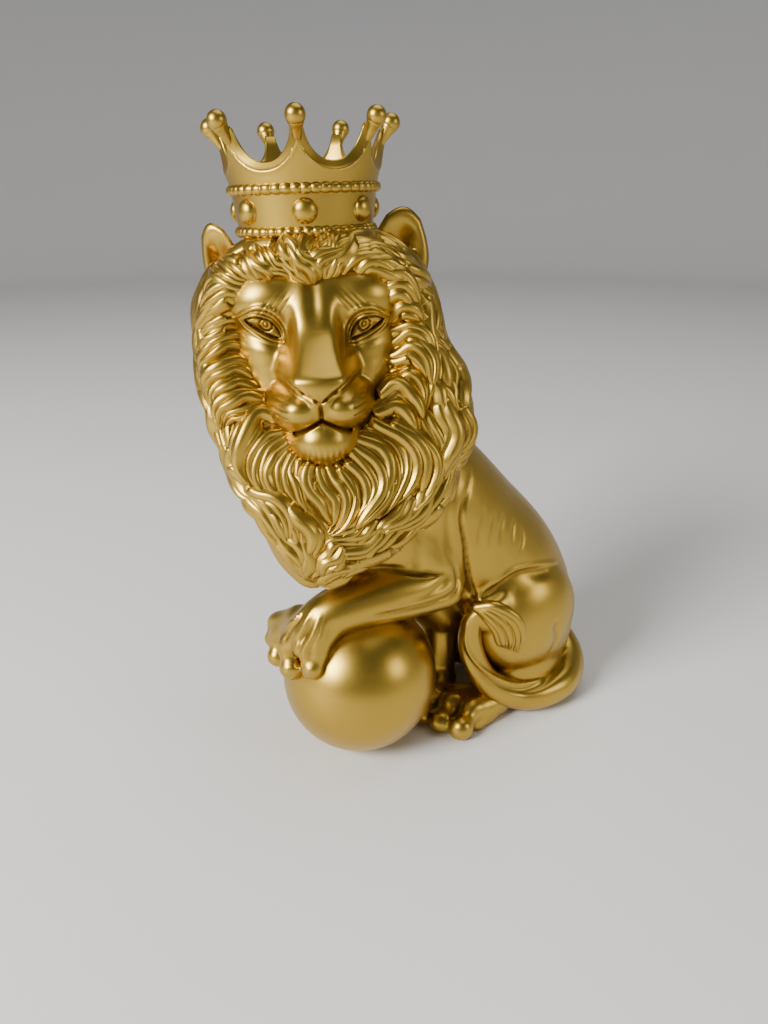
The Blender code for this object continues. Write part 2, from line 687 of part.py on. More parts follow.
def join(obj, tool, operation):
    modifier = obj.modifiers.new(tool.name, "BOOLEAN")
    modifier.operation = operation
    modifier.solver = "EXACT"
    modifier.object = tool


def add_ball(bm):
    bmesh.ops.create_uvsphere(
        bm, u_segments=24, v_segments=12, radius=BALL_RADIUS, matrix=Matrix.Translation(BALL_CENTRE)
    )


def add_floor_block(bm):
    """A block whose top is the floor."""
    side = 2 * FIGURE_HEIGHT
    place = Matrix.Translation((0, 0, -side / 2)) @ Matrix.Diagonal((side, side, side, 1))
    bmesh.ops.create_cube(bm, size=1, matrix=place)


def lower(bm):
    """Sets the body down by the depth that the floor cuts flat."""
    bmesh.ops.translate(bm, verts=bm.verts, vec=(0, 0, -SOLE_DEPTH))


def build_statue():
    statue = make_object("lion_statue", add_body, lower)
    statue.data.materials.append(gold())
    wrap(statue, BODY_VOXEL)
    thin(statue, BODY_FACES)
    mane = make_tool("mane", add_mane, add_ears)
    wrap(mane, MANE_VOXEL)
    thin(mane, MANE_FACES)
    face = make_tool("face", add_face)
    thin(face, FACE_FACES)
    paws = make_tool("paws", add_paws, lower)
    wrap(paws, PAW_VOXEL)
    thin(paws, PAW_FACES)
    ball, crown = make_tool("ball", add_ball), make_tool("crown", add_crown)
    trim = make_tool("crown_trim", add_crown_trim)
    for tool in (mane, face, paws, ball, crown, trim):
        join(statue, tool, "UNION")
    join(statue, make_tool("floor", add_floor_block), "DIFFERENCE")
    return statue


for leftover in list(bpy.data.objects):
    bpy.data.objects.remove(leftover)
build_statue()
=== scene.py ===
"""A seated lion in gold paint, wearing a crown, its left forepaw on a ball: the visible surface.

Metres, +Z up. Free forms are posed in millimetres beside the photograph's camera and set over the
casting's middle when they become a mesh.
"""

import math

import bmesh
import bpy
import numpy as np
from mathutils import Matrix, Vector


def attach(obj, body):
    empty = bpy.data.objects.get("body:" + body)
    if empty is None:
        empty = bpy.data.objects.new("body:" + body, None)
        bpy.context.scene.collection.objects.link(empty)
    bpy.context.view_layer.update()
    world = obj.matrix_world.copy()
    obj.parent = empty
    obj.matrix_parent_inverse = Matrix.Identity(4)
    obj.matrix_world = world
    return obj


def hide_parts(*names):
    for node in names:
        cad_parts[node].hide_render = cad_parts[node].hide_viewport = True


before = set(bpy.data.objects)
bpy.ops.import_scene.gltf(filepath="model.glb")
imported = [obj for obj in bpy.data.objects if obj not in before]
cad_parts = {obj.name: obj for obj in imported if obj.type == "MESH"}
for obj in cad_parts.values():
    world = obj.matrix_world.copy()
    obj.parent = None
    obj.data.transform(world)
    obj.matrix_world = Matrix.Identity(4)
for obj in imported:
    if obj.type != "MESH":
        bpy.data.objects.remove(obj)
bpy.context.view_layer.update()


# Ball: a plain globe under the raised paw, cast in one with the statue and sprayed with the same satin
# gold paint, resting on a small flat.

UNIT = 0.001
MIDDLE = np.array((15.0, 0.7, 0.0))
BALL_RADIUS, BALL_FLAT = 31.4, 8.0
BALL_CENTRE = np.array((-10.0, -24.0, math.sqrt(BALL_RADIUS**2 - BALL_FLAT**2)))


def unit_rows(v):
    """Vectors divided by their own lengths."""
    return v / np.linalg.norm(v, axis=-1, keepdims=True)


def bell(distance, width):
    """Bell curve exp(-(d / width)^2) of a distance."""
    return np.exp(-((distance / width) ** 2))


def turns(sides):
    """Angles of the points of a closed ring."""
    return np.arange(sides) * 2 * math.pi / sides


def grid_quads(rows, columns, wrap_rows=0, wrap_columns=1):
    """Quads over points numbered row by row; a wrapped side closes on its first line."""
    index = np.arange(rows * columns).reshape(rows, columns)
    index = np.pad(index, ((0, wrap_rows), (0, wrap_columns)), "wrap")
    return np.stack([index[:-1, :-1], index[:-1, 1:], index[1:, 1:], index[1:, :-1]], -1).reshape(-1, 4)


def skins(rings):
    """Closed skins over stacks of rings: quads between neighbours, a fan to the middle of each end."""
    stacks, count, around = rings.shape[:3]
    points = np.concatenate([rings.reshape(stacks, -1, 3), rings[:, (0, -1)].mean(axis=2)], axis=1)
    last, end = (count - 1) * around, count * around
    j = np.arange(around)
    k = np.roll(j, -1)
    fans = np.vstack([np.stack([k, j, 0 * j + end], -1), np.stack([last + j, last + k, 0 * j + end + 1], -1)])
    base = np.arange(stacks)[:, None, None] * (end + 2)
    return points.reshape(-1, 3), (grid_quads(count, around) + base).reshape(-1, 4), (fans + base).reshape(-1, 3)


def add_object(name, data):
    """An object in the scene."""
    obj = bpy.data.objects.new(name, data)
    bpy.context.scene.collection.objects.link(obj)
    return obj


def make_mesh(name, shapes, recalculate=False):
    """One object from shapes of points, quads and triangles, moved over the casting's middle."""
    points, faces, base = [], [], 0
    for shape in shapes:
        points.append(shape[0])
        for corners in shape[1:]:
            faces += (corners + base).tolist()
        base += len(shape[0])
    mesh = bpy.data.meshes.new(name)
    mesh.from_pydata((np.vstack(points) - MIDDLE) * UNIT, [], faces)
    if recalculate:
        bm = bmesh.new()
        bm.from_mesh(mesh)
        bmesh.ops.recalc_face_normals(bm, faces=bm.faces)
        bm.to_mesh(mesh)
        bm.free()
    return add_object(name, mesh)


def points_of(mesh, value="co"):
    """The points of a mesh, or their normals, as an array."""
    data = np.empty(len(mesh.vertices) * 3)
    mesh.vertices.foreach_get(value, data)
    return data.reshape(-1, 3)


def edges_of(mesh):
    """The first and the second end of every edge."""
    data = np.empty(len(mesh.edges) * 2, int)
    mesh.edges.foreach_get("vertices", data)
    return data.reshape(-1, 2).T


def beside(edges, value):
    """Sum of a value over the neighbours of each point."""
    a, b = edges
    return np.bincount(a, value[b], len(value)) + np.bincount(b, value[a], len(value))


class Value:
    """A shader socket that takes part in arithmetic: each operator adds one Math node."""

    def __init__(self, tree, socket):
        self.tree, self.socket = tree, socket

    def add_node(self, kind, inputs, **settings):
        """A node of any type, with a value or a link for each socket named or numbered, and its settings."""
        node = self.tree.nodes.new(kind)
        for name, value in settings.items():
            setattr(node, name, value)
        for key, value in inputs.items():
            if isinstance(value, Value):
                self.tree.links.new(value.socket, node.inputs[key])
            else:
                node.inputs[key].default_value = value
        return node

    def math(self, operation, *values):
        """One Math node over values and sockets."""
        node = self.add_node("ShaderNodeMath", dict(enumerate(values)), operation=operation)
        return Value(self.tree, node.outputs[0])

    def __add__(self, other):
        return self.math("ADD", self, other)

    def __sub__(self, other):
        return self.math("SUBTRACT", self, other)

    def __mul__(self, other):
        return self.math("MULTIPLY", self, other)

    __radd__, __rmul__ = __add__, __mul__

    def limited(self):
        """The value held between 0 and 1."""
        return self.math("MINIMUM", self.math("MAXIMUM", self, 0.0), 1.0)

    def mixed(self, low, high):
        """A colour from low at 0 to high at 1, as a socket."""
        return self.add_node("ShaderNodeMix", {0: self, 6: low, 7: high}, data_type="RGBA").outputs[2]


def new_material(name):
    """A material, its node tree and its shader."""
    material = bpy.data.materials.new(name)
    material.use_nodes = True
    return material, material.node_tree, material.node_tree.nodes["Principled BSDF"]


def attribute(tree, name):
    """A value that the points of a mesh carry."""
    node = tree.nodes.new("ShaderNodeAttribute")
    node.attribute_name = name
    return Value(tree, node.outputs["Fac"])


def gold_paint(name):
    """Satin gold paint: fine flake in the shine, engraved hairs, painted shade that browns and darkens the colour in
    the crevices.
    """
    material, tree, shader = new_material(name)
    shader.inputs["Metallic"].default_value = 1.0
    place = Value(tree, tree.nodes.new("ShaderNodeTexCoord").outputs["Object"])
    crevice_shade, across = attribute(tree, "crevice_shade"), attribute(tree, "across")

    def noise(scale, detail):
        """Noise over the object's own place."""
        node = place.add_node("ShaderNodeTexNoise", {"Vector": place, "Scale": scale, "Detail": detail})
        return Value(tree, node.outputs["Fac"])

    flake, cloud = noise(FLAKE_SCALE, 2.0), noise(CLOUD_SCALE, 3.0)
    hairs = place.math("SINE", across * (2 * math.pi * HAIRS_ROUND) + noise(HAIR_SCALE, 1.0) * 4)
    hairs = hairs * place.math("GREATER_THAN", across, 0.001)
    # Painted shade: the base colour runs from gold to a dark brown gold where the surface folds inwards, with a little
    # random mottle; the paint is rougher there too.
    shade_and_mottle = (crevice_shade * 1.6 + (cloud - 0.5) * 0.3).limited()
    tree.links.new(shade_and_mottle.mixed(GOLD, SHADED_GOLD), shader.inputs["Base Color"])
    rough = 0.22 + 0.10 * cloud + 0.12 * flake + 0.10 * shade_and_mottle
    tree.links.new(rough.socket, shader.inputs["Roughness"])
    height = flake * 0.6 + noise(GRAIN_SCALE, 2.0) * 0.4 + hairs * 0.9
    relief = {"Height": height, "Distance": RELIEF_DEPTH, "Strength": RELIEF_STRENGTH}
    bump = place.add_node("ShaderNodeBump", relief)
    tree.links.new(bump.outputs["Normal"], shader.inputs["Normal"])
    return material


GOLD = (0.49, 0.32, 0.054, 1.0)
# painted shade colour that the hollows are darkened towards
SHADED_GOLD = (0.12, 0.062, 0.01, 1.0)
HAIRS_ROUND = 9  # engraved hairs round one strand
FLAKE_SCALE, GRAIN_SCALE, HAIR_SCALE, CLOUD_SCALE = 3200.0, 700.0, 160.0, 60.0  # noise, from fine to broad
RELIEF_DEPTH, RELIEF_STRENGTH = 0.00012, 0.22
# strength of the painted shade in hollows
CREVICE_SHADE_GAIN = 4
gold = gold_paint("satin_gold_paint")


def shade_crevices(obj, rounds, shade_gain):
    """Painted shade in hollows, kept as an attribute: how far the mean of a point's neighbours stands out of the
    surface there, blurred.
    """
    mesh = obj.data
    points, normals = points_of(mesh), points_of(mesh, "normal")
    edges = a, b = edges_of(mesh)
    count = beside(edges, np.ones(len(points)))
    step = points[b] - points[a]
    length = np.linalg.norm(step, axis=1) + 1e-9
    bend = np.bincount(a, np.sum(step * normals[a], 1) / length, len(points))
    bend -= np.bincount(b, np.sum(step * normals[b], 1) / length, len(points))
    bend /= np.maximum(count, 1)
    for _ in range(rounds):
        bend = (bend + beside(edges, bend) / count) / 2
    crevice_shade = mesh.attributes.new("crevice_shade", "FLOAT", "POINT")
    crevice_shade.data.foreach_set("value", np.clip(bend * CREVICE_SHADE_GAIN * shade_gain, 0, 1))


def finish_piece(obj, rounds=3, shade_gain=1.0):
    """Smooth shading, paint with painted shade in its hollows, and the calls that tie a piece to the casting."""
    obj.data.shade_smooth()
    shade_crevices(obj, rounds, shade_gain)
    obj.data.materials.clear()
    obj.data.materials.append(gold)
    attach(obj, "root")


def globe(centre, radius, bands, sides, lowest=-1.0):
    """A sphere's rings of latitude, cut flat at the lowest share of its radius."""
    level = np.linspace(math.acos(-lowest) if lowest > -1 else 0.02, math.pi - 0.02, bands)[:, None]
    turn = turns(sides)
    rings = np.stack([np.sin(level) * np.cos(turn), np.sin(level) * np.sin(turn), -np.cos(level) + 0 * turn], -1)
    return skins((np.array(centre, float) + radius * rings)[None])


ball = make_mesh("ball", [globe(BALL_CENTRE, BALL_RADIUS, 72, 128, -BALL_CENTRE[2] / BALL_RADIUS)])
finish_piece(ball)


# Body: trunk, haunches, legs and paws, cast in one and modelled as muscle over a smooth skin, with
# folds at the shoulder, the ribs and the haunch. One skin runs over overlapping limbs, softened most
# where it is far from the toes, then the folds are pressed into it.

HEADING = 34.0  # degrees that the body is turned from the -X direction towards the viewer
BODY_VOXEL, SOFTENING_ROUNDS = 0.95, 17
# Limbs: x, y, z and radius along each
TRUNK = (
    (-18, 0, 150, 24), (-6, 0, 124, 26), (14, 3, 102, 29), (30, 11, 82, 30), (47, 19, 60, 31), (56, 24, 39, 31),
    (60, 26, 20, 28),
)
CHEST = ((-8, -14, 104, 20), (0, -12, 86, 19), (8, -8, 72, 16), (16, 2, 58, 15), (26, 8, 48, 16))
NEAR_SHIN = ((48, 0, 38, 11), (54, 1, 24, 9), (53, -2, 12, 8), (48, -9, 8, 7.5))
FAR_SHIN = ((26, 31, 42, 12), (26, 32, 26, 9), (34, 30, 12, 8), (38, 28, 8, 7))
STANDING_LEG = ((6, 12, 84, 13), (18, 9, 60, 11.5), (24, 5, 38, 9), (24.5, 4, 18, 8), (23, 2, 8, 7.5))
UPPER_ARM = ((14, -9, 103, 15), (16, -12, 88, 14.5), (19, -16, 76, 12.5), (18, -20, 69, 9.5))
FOREARM = (
    (23, -19, 68, 9.5), (13, -22.5, 68.8, 11.2), (0.4, -27, 69, 11.6), (-14.9, -34, 67, 10.2), (-23, -37, 64.4, 9),
    (-29, -37, 59.5, 7.8),
)
PALM = ((-20, -37, 64, 8), (-24, -42, 58, 6), (-25, -44.5, 52.5, 4.6), (-26, -45, 49, 3.6))
LIMBS = (TRUNK, CHEST, NEAR_SHIN, FAR_SHIN, STANDING_LEG, UPPER_ARM, FOREARM, PALM)
# Muscles: centre and half sizes
MUSCLES = (
    ((61, 3, 43), (27, 17.5, 27)), ((46, -9, 53), (14, 10, 11.5)), ((66, 8, 36), (20.5, 16, 24)),
    ((63, 5, 16), (21, 14, 17)), ((39, -14, 4), (15, 10, 7)), ((44, 40, 34), (25, 16, 28)),
    ((12, -6, 94), (17, 13, 24)), ((5, 13.5, 90), (26, 13, 33)),
)
# Toes of the raised paw: root, knuckle, end, radius of the end
TOES = (
    ((-33, -29, 60), (-43.8, -19.4, 51.6), (-45.2, -21.6, 45.4), 3.6),
    ((-32.5, -32, 58), (-42.2, -24, 47.8), (-43, -27, 40.6), 4.2),
    ((-30.5, -37, 59), (-36.6, -37.2, 51.4), (-35.8, -40.4, 44.4), 4.7),
    ((-25, -40.5, 61), (-29.6, -43.2, 54.4), (-27, -46, 48), 4.5),
)
# Feet on the floor: ankle, then for each toe its knuckle, its end and its radius
FEET = (
    ((49, -10, 6.5), ((37.4, -19.6, 8), (32.6, -27.2, 5), 5.2), ((29.4, -14.2, 8.2), (24.4, -22.6, 5), 5),
     ((22.6, -8.6, 7.4), (17.6, -17.4, 4.4), 4.4), ((43, -16, 4.6), (39.5, -21, 3.2), 4)),
    ((26, 4, 8), ((25.5, -3.5, 13), (22.5, -10, 10), 3.8), ((17.5, -1, 10.5), (13.5, -8, 7), 3.8),
     ((12, 4, 8), (7, -2, 4.5), 3.8)),
    ((27, 24, 6.5), ((19, 17, 8), (11.5, 12, 4), 3.8), ((16.5, 23, 8), (8.5, 19, 4), 3.8),
     ((16, 29, 7), (9, 26, 3.6), 3.6)),
)
TOE_REACH = 9.0  # within this distance of a toe's end or knuckle the skin is hardly softened
# Folds pressed into the skin: half width, depth and points along the fold; a depth below 0 is a ridge
FOLDS = (
    (1.1, 1.6, (33.5, -13.2, 115.5), (29.8, -21.9, 101.2), (31.8, -20.6, 86.7), (33.5, -17.6, 73.7),
     (36.3, -14.2, 62.7), (38.4, -16.9, 59.5)),
    (1.2, 1.4, (26.9, -23.9, 82.2), (29.1, -23.6, 73.3), (27, -27.2, 69), (18.2, -32, 67.3), (4.6, -37.3, 66.4),
     (-4.5, -40.9, 66.7)),
    (2, 0.8, (25.3, -25.8, 78.8), (22.5, -28.3, 73.6), (13, -34.3, 70.3), (6.1, -37.1, 69.3)),
    (1.2, 1.3, (-8.8, -28.7, 82), (2.7, -30.3, 81.6), (18.2, -27.7, 78.1), (24.1, -26.4, 78.3)),
    (2.2, 1, (25.6, -20.2, 114.9), (23.9, -24.1, 102.2), (24.7, -23.8, 88.6), (26.5, -24.8, 80)),
    (1, -1.1, (37.7, -15.3, 60.5), (41.3, -14.7, 63.9), (45.7, -14.2, 67.3), (50.2, -13, 70.4), (54.9, -10.8, 71.6),
     (63.3, -5.5, 70.7), (74.8, 6.1, 66.3)),
    (2.8, 1.9, (40, -17.6, 59.5), (45.9, -14.5, 63.3), (51.7, -12.4, 67.3), (58.7, -9.1, 68.8), (69.9, -1.4, 66.2)),
    (2.2, 1, (75, -7.9, 45.7), (73.2, -9.5, 42.7), (74.8, -7.3, 35.4), (73, -6.2, 28.5)),
    (1.1, 0.4, (43.8, -12.5, 98.1), (42.2, -15.6, 91.3), (41.3, -16.6, 84.3)),
    (1.1, 0.4, (48, -9.2, 95.4), (46.6, -12.6, 89.9), (46, -14.2, 84.1)),
    (1.1, 0.4, (53.2, -5.2, 91.9), (52.2, -8.5, 88), (51.8, -10.6, 83.2)),
    (1.1, 0.4, (56.5, -4.3, 87.5), (56.9, -6.5, 82.7), (55.5, -9.1, 78.5)),
    (1.1, 0.4, (38.9, -15.7, 102), (37.1, -18.7, 92.7), (36.7, -18.6, 84)),
    (1, -1, (-31.4, -39.3, 68), (-34.2, -39.7, 64.3), (-37.5, -36.1, 59.4)),
    (1, -0.8, (-25.4, -40.9, 71.9), (-30.3, -44, 63.8), (-33.7, -43.2, 58.1)),
    (0.9, -1, (-23.8, -44.3, 69.2), (-26.1, -46.2, 63), (-29.4, -47.1, 57), (-30, -47.6, 53.4)),
    (1, -0.8, (-21.9, -45.1, 68), (-23.3, -46.5, 62.4), (-25.7, -47.9, 57.6)),
    (1, 0.9, (-29.4, -40.1, 69.7), (-32.4, -41, 65.5), (-35.3, -40.9, 61), (-38.3, -40.3, 55.4)),
    (1.1, 1.2, (-27.2, -44.5, 66.7), (-30.4, -45.5, 59.5), (-31.9, -46.8, 55.1), (-32.3, -43, 45.4)),
    (2, 0.5, (-20.5, -34.3, 75.5), (-25.8, -35.9, 73)),
)


def smooth_path(stations, steps):
    """Catmull-Rom curve: a cubic between stations, its slope at each half the chord of the two beside it."""
    p = np.array(stations, float)
    p = np.vstack([2 * p[0] - p[1], p, 2 * p[-1] - p[-2]])
    t = (np.arange(steps) / steps)[None, :, None]
    a, b, c, d = (p[i : len(p) - 3 + i, None] for i in range(4))
    curve = b + 0.5 * (c - a) * t + (a - 2.5 * b + 2 * c - 0.5 * d) * t**2
    curve = curve + (1.5 * (b - c) + 0.5 * (d - a)) * t**3
    return np.vstack([curve.reshape(-1, p.shape[1]), p[-2]])


DOME = (0.94, 0.8, 0.55, 0.25)  # shares of the end's radius that close a limb


def tube(stations, sides=28, steps=8):
    """A limb: a round section carried along a smooth path, its ends domed. Stations are x, y, z, radius."""
    path = smooth_path(stations, steps)
    along = unit_rows(np.gradient(path[:, :3], axis=0))
    side, sideways = np.cross(along[0], (0.3, 0.5, 0.8)), []
    for way in along:
        side = side - way * (side @ way)
        side = side / np.linalg.norm(side)
        sideways.append(side)
    dome = np.array(DOME)
    out = np.sqrt(1 - dome**2)
    first = [np.append(path[0, :3] - along[0] * path[0, 3] * o, path[0, 3] * d) for d, o in zip(dome[::-1], out[::-1])]
    last = [np.append(path[-1, :3] + along[-1] * path[-1, 3] * o, path[-1, 3] * d) for d, o in zip(dome, out)]
    path = np.vstack([first, path, last])
    along, sideways = (np.pad(ways, ((len(dome), len(dome)), (0, 0)), "edge") for ways in (along, sideways))
    turn = turns(sides)
    ring = np.cos(turn)[None, :, None] * sideways[:, None]
    ring = ring + np.sin(turn)[None, :, None] * np.cross(along, sideways)[:, None]
    return skins((path[:, None, :3] + path[:, None, 3:] * ring)[None])


def flesh(centre, radii):
    """An ellipsoid: rings of latitude from its foot to its top, turned about the vertical with the body."""
    level = np.linspace(0.03, math.pi - 0.03, 24)[:, None]
    turn = turns(36)
    x, y = radii[0] * np.sin(level) * np.cos(turn), radii[1] * np.sin(level) * np.sin(turn)
    z = -radii[2] * np.cos(level) + 0 * turn
    c, s = math.cos(math.radians(HEADING)), math.sin(math.radians(HEADING))
    rings = np.stack([x * c - y * s, x * s + y * c, z], -1) + np.array(centre, float)
    return skins(rings[None])


def toe(root, knuckle, end, radius):
    """A toe: a limb that rises to its knuckle, dips, swells at its end and carries a short claw."""
    root, knuckle, end = (np.array(p, float) for p in (root, knuckle, end))
    dip, half = (knuckle + end) / 2, (root + knuckle) / 2
    way = end - dip
    way = way / np.linalg.norm(way)
    near, mid, tip = (end + way * radius * share for share in (0.3, 0.75, 0.95))
    tip = tip + np.array((0, 0, -0.35 * radius))
    limb = ((root, 1.5), (half, 1.25), (knuckle, 1.16), (dip, 0.88), (end, 1.12))
    claw = ((near, 0.45), (mid, 0.3), (tip, 0.12))
    return [
        tube([(*place, radius * share) for place, share in limb], 20, 6),
        tube([(*place, radius * share) for place, share in claw], 10, 5),
    ]


def foot(ankle, *toes):
    """A paw on the floor: a low mound from the ankle over the back of the foot, and its toes."""
    ankle = np.array(ankle, float)
    knuckles = [np.array(spec[0], float) for spec in toes]
    back = ankle * 0.5 + knuckles[0] * 0.25 + knuckles[1] * 0.25
    shapes = [tube(((*ankle, 7.5), (*back, 6.2)), 24, 6)]
    for place, spec in zip(knuckles, toes):
        shapes += toe(ankle * 0.6 + place * 0.4, *spec)
    return shapes


def move_points(obj, points):
    """Puts the points of an object at new places, in metres."""
    obj.data.vertices.foreach_set("co", points.ravel())
    obj.data.update()


def cast(obj, voxel, rounds, sharp):
    """Runs one skin over all the overlapping shapes of an object and softens where they meet.

    Each round moves a point towards the mean of its neighbours, by 0.5 (1 - 0.85 exp(-(d / reach)^4))
    of the way, where d is its distance to the nearest sharp place.
    """
    skin = obj.modifiers.new("skin", "REMESH")
    skin.mode = "VOXEL"
    skin.voxel_size = voxel * UNIT
    bpy.context.view_layer.update()
    graph = bpy.context.evaluated_depsgraph_get()
    obj.data = bpy.data.meshes.new_from_object(obj.evaluated_get(graph))
    obj.data.name = obj.name
    obj.modifiers.clear()
    points = points_of(obj.data) / UNIT + MIDDLE
    edges = edges_of(obj.data)
    count = beside(edges, np.ones(len(points)))[:, None]
    away = np.min([np.linalg.norm(points - place, axis=1) for place in sharp], axis=0)
    weight = 0.5 * (1 - 0.85 * np.exp(-((away / TOE_REACH) ** 4)))[:, None]
    for _ in range(rounds):
        mean = np.stack([beside(edges, column) for column in points.T], 1) / count
        points += weight * (mean - points)
    move_points(obj, (points - MIDDLE) * UNIT)


def set_down(obj):
    """Flattens what would reach below the floor."""
    points = points_of(obj.data)
    points[:, 2] = np.maximum(points[:, 2], 0)
    move_points(obj, points)


def press_folds(obj, folds):
    """Moves points inwards by depth times a bell curve of their distance to a fold, over its half width."""
    points = points_of(obj.data) / UNIT + MIDDLE
    normals = points_of(obj.data, "normal")
    for width, depth, *stations in folds:
        path = smooth_path(stations, 8)
        start, span = path[:-1], np.diff(path, axis=0)
        near = np.where(np.all((points > path.min(0) - 3 * width) & (points < path.max(0) + 3 * width), axis=1))[0]
        offset = points[near, None] - start
        t = np.clip(np.sum(offset * span, -1) / np.sum(span * span, -1), 0, 1)
        away = np.linalg.norm(offset - t[..., None] * span, axis=-1)
        which = np.argmin(away, axis=1)
        row = np.arange(len(near))
        place = (which + t[row, which]) / len(span)
        fade = np.clip(4 * place * (1 - place) + 0.05, 0, 1) ** 0.6
        push = depth * fade * bell(away[row, which], width)
        points[near] -= normals[near] * push[:, None]
    move_points(obj, (points - MIDDLE) * UNIT)


body = make_mesh(
    "body",
    [tube(limb) for limb in LIMBS]
    + [flesh(*form) for form in MUSCLES]
    + [shape for spec in TOES for shape in toe(*spec)]
    + [shape for spec in FEET for shape in foot(*spec)],
)
toe_places = [place for spec in TOES for place in spec[1:3]]
toe_places += [place for spec in FEET for spot in spec[1:] for place in spot[:2]]
cast(body, BODY_VOXEL, SOFTENING_ROUNDS, toe_places)
press_folds(body, FOLDS)
set_down(body)
finish_piece(body, 4)
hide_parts("lion_statue")


# Tail: a tapering limb, cast with the body, that runs round the left haunch on the floor, climbs the
# thigh and ends in a fan of curved strands.

TAIL = (
    (68, 42, 24, 10), (79, 33, 18, 9.2), (86, 18, 11.5, 8), (81, 2, 9, 7.6), (69, -6.8, 8.2, 7.4),
    (56.5, -10.5, 10.5, 7), (46.5, -14.5, 17.5, 6), (40, -16, 27, 5.4), (36, -16, 40, 5), (37, -15.5, 50, 4.4),
    (42, -16, 56.5, 3.8),
)
TAIL_FOLDS = (
    (0.9, -1, (34.1, -19, 50), (33.5, -20.1, 43.4), (35.7, -21.1, 36.8), (41, -21, 29.8), (49.5, -17.5, 21.9),
     (59.6, -12.9, 16.3), (67.4, -8.6, 15.6), (73.3, 1.1, 14.2), (78.7, 5.9, 15.8), (84.4, 12.3, 18.1)),
    (1.8, 0.9, (32.6, -18.9, 46.5), (33.2, -20.1, 38.6), (36.7, -21.2, 32.5), (42.9, -20.9, 25.8),
     (50.8, -18.4, 19.4), (60.3, -14.7, 14.7), (68.8, -11, 14.7), (74.8, -4.9, 15.6), (81.2, 2.9, 16.7)),
)
TUFT_WAYS = (-5.6, -3.9, -2.2, -0.5, 1.2, 2.8, 4.2, 5.2)  # how far each strand of the tuft fans out


def tuft():
    """Strands from the tail's end that rise, turn over the thigh and come to a point below."""
    shapes = []
    for k, way in enumerate(TUFT_WAYS):
        lift = 0.7 * (k % 2)
        stations = (
            (38, -17.0 - lift, 57.5, 2.4),
            (43.5 + way * 0.35, -19.4 - lift, 57 + way * 0.45, 2.3),
            (50 + way * 0.75, -20.4 - lift, 51.5 + way * 0.55, 2.0),
            (52.5 + way * 0.9, -19.6 - lift, 44 + way * 0.3, 1.5),
            (52.5 + way * 0.7, -18.0, 37.5 - way * 0.25, 0.4),
        )
        shapes.append(tube(stations, 14))
    return shapes


tail = make_mesh("tail", [tube(TAIL, 96, 24)])
press_folds(tail, TAIL_FOLDS)
set_down(tail)
finish_piece(tail)
tail_tuft = make_mesh("tail_tuft", tuft())
set_down(tail_tuft)
finish_piece(tail_tuft)


# Face: one carved front, from forehead to chin. Its height over the head's own plane comes from
# cross-sections, soft domes for pads, brows and chin, and carved lines for eyes, nose and mouth.

HEAD_CENTRE = np.array([-22.6, -37.0, 174.4])  # between the eyes
HEAD_YAW, HEAD_PITCH, HEAD_ROLL = (math.radians(a) for a in (4.5, 6, -2.4))
HEAD_AXES = np.array(
    Matrix.Rotation(HEAD_YAW, 3, "Z") @ Matrix.Rotation(-HEAD_PITCH, 3, "X") @ Matrix.Rotation(HEAD_ROLL, 3, "Y")
)
ACROSS, UP, OUT = HEAD_AXES[:, 0], HEAD_AXES[:, 2], -HEAD_AXES[:, 1]
FACE_HALF_WIDTH, FACE_TOP, FACE_FOOT, FACE_BACK = 28, 21, -48, -34
FACE_STEP = 0.25
# Cross-sections from forehead to chin: height up the face, how far out its middle stands, half width
# of the middle, width of the slope beside it, how far out the cheek stands, half width of the face
FACE_SECTIONS = (
    (22, -6.5, 7, 9, -9, 28),
    (14, -1.5, 7.5, 8, -3.2, 27.5),
    (8, 1.2, 6.4, 6, -2.0, 27.5),
    (3, 2.6, 5.4, 6.2, -4.2, 27.5),
    (-2, 4.8, 5.2, 7.0, -4.6, 27.5),
    (-7, 9, 5.0, 9.0, -3.4, 27.5),
    (-12, 14.2, 6.2, 9.2, -3.8, 27),
    (-15.6, 18.2, 7.8, 7.4, -3.6, 26.5),
    (-17.4, 18.4, 8.0, 5.8, -3.6, 26),
    (-23, 16.6, 2, 6, -4.6, 25),
    (-28, 12.5, 5, 8, -7.4, 23),
    (-33, 10, 6, 7, -11, 19),
    (-39, 9, 6, 6, -13, 17),
    (-48, -4, 5, 6, -18, 15),
)
CHEEK_FALL = 8.0
MOUND_BLEND = 0.8  # over how much height the mounds run together
FACE_SOFTNESS, BELL_SPAN = 1.1, 12  # reach of the softening, and how many grid lines it looks at each way
# Whisker pads, chin and brow: middle across and up, how far out, half sizes, steepness of the rim
FACE_MOUNDS = (
    (6.8, -26.0, 15.6, 8.2, 6.8, 7.5),
    (9.8, -25.4, 11.6, 5.2, 5.8, 8),
    (0, -37.6, 12.0, 9.4, 7.4, 5),
    (13.0, 8.0, -1.0, 10, 7.5, 2.6),
)
EYE_ACROSS, EYE_UP, EYE_SLANT = 17.0, -0.8, math.radians(29)
EYE_LENGTH, EYE_OPENING = 6.6, 2.3  # half length and half height of the opening
EYE_LEVEL = 0.045  # how much the left eye stands higher than the right, for each unit across
MOUTH_UP, MOUTH_HALF_WIDTH = -29.8, 9.5
NOSTRIL_ACROSS, NOSTRIL_UP = 5.2, -20.2


def from_head(a, b, c):
    """Points from distances across, up and out of the face."""
    a, b, c = np.broadcast_arrays(a, b, c)
    return HEAD_CENTRE + a[..., None] * ACROSS + b[..., None] * UP + c[..., None] * OUT


def eased(x, y, slope, at):
    """Columns of y at places between the knots x: a cubic that keeps each knot's value and slope."""
    i = np.clip(np.searchsorted(x, at, side="right") - 1, 0, len(x) - 2)
    span = (x[i + 1] - x[i])[..., None]
    t = (at - x[i])[..., None] / span
    ease = t * t * (3 - 2 * t)
    bend = t * (1 - t) ** 2 * slope[i] * span - t * t * (1 - t) * slope[i + 1] * span
    return np.moveaxis(y[i] * (1 - ease) + y[i + 1] * ease + bend, -1, 0)


def groove(distance, width, depth):
    """Depth times a bell curve of the distance, over the width."""
    return depth * bell(distance, width)


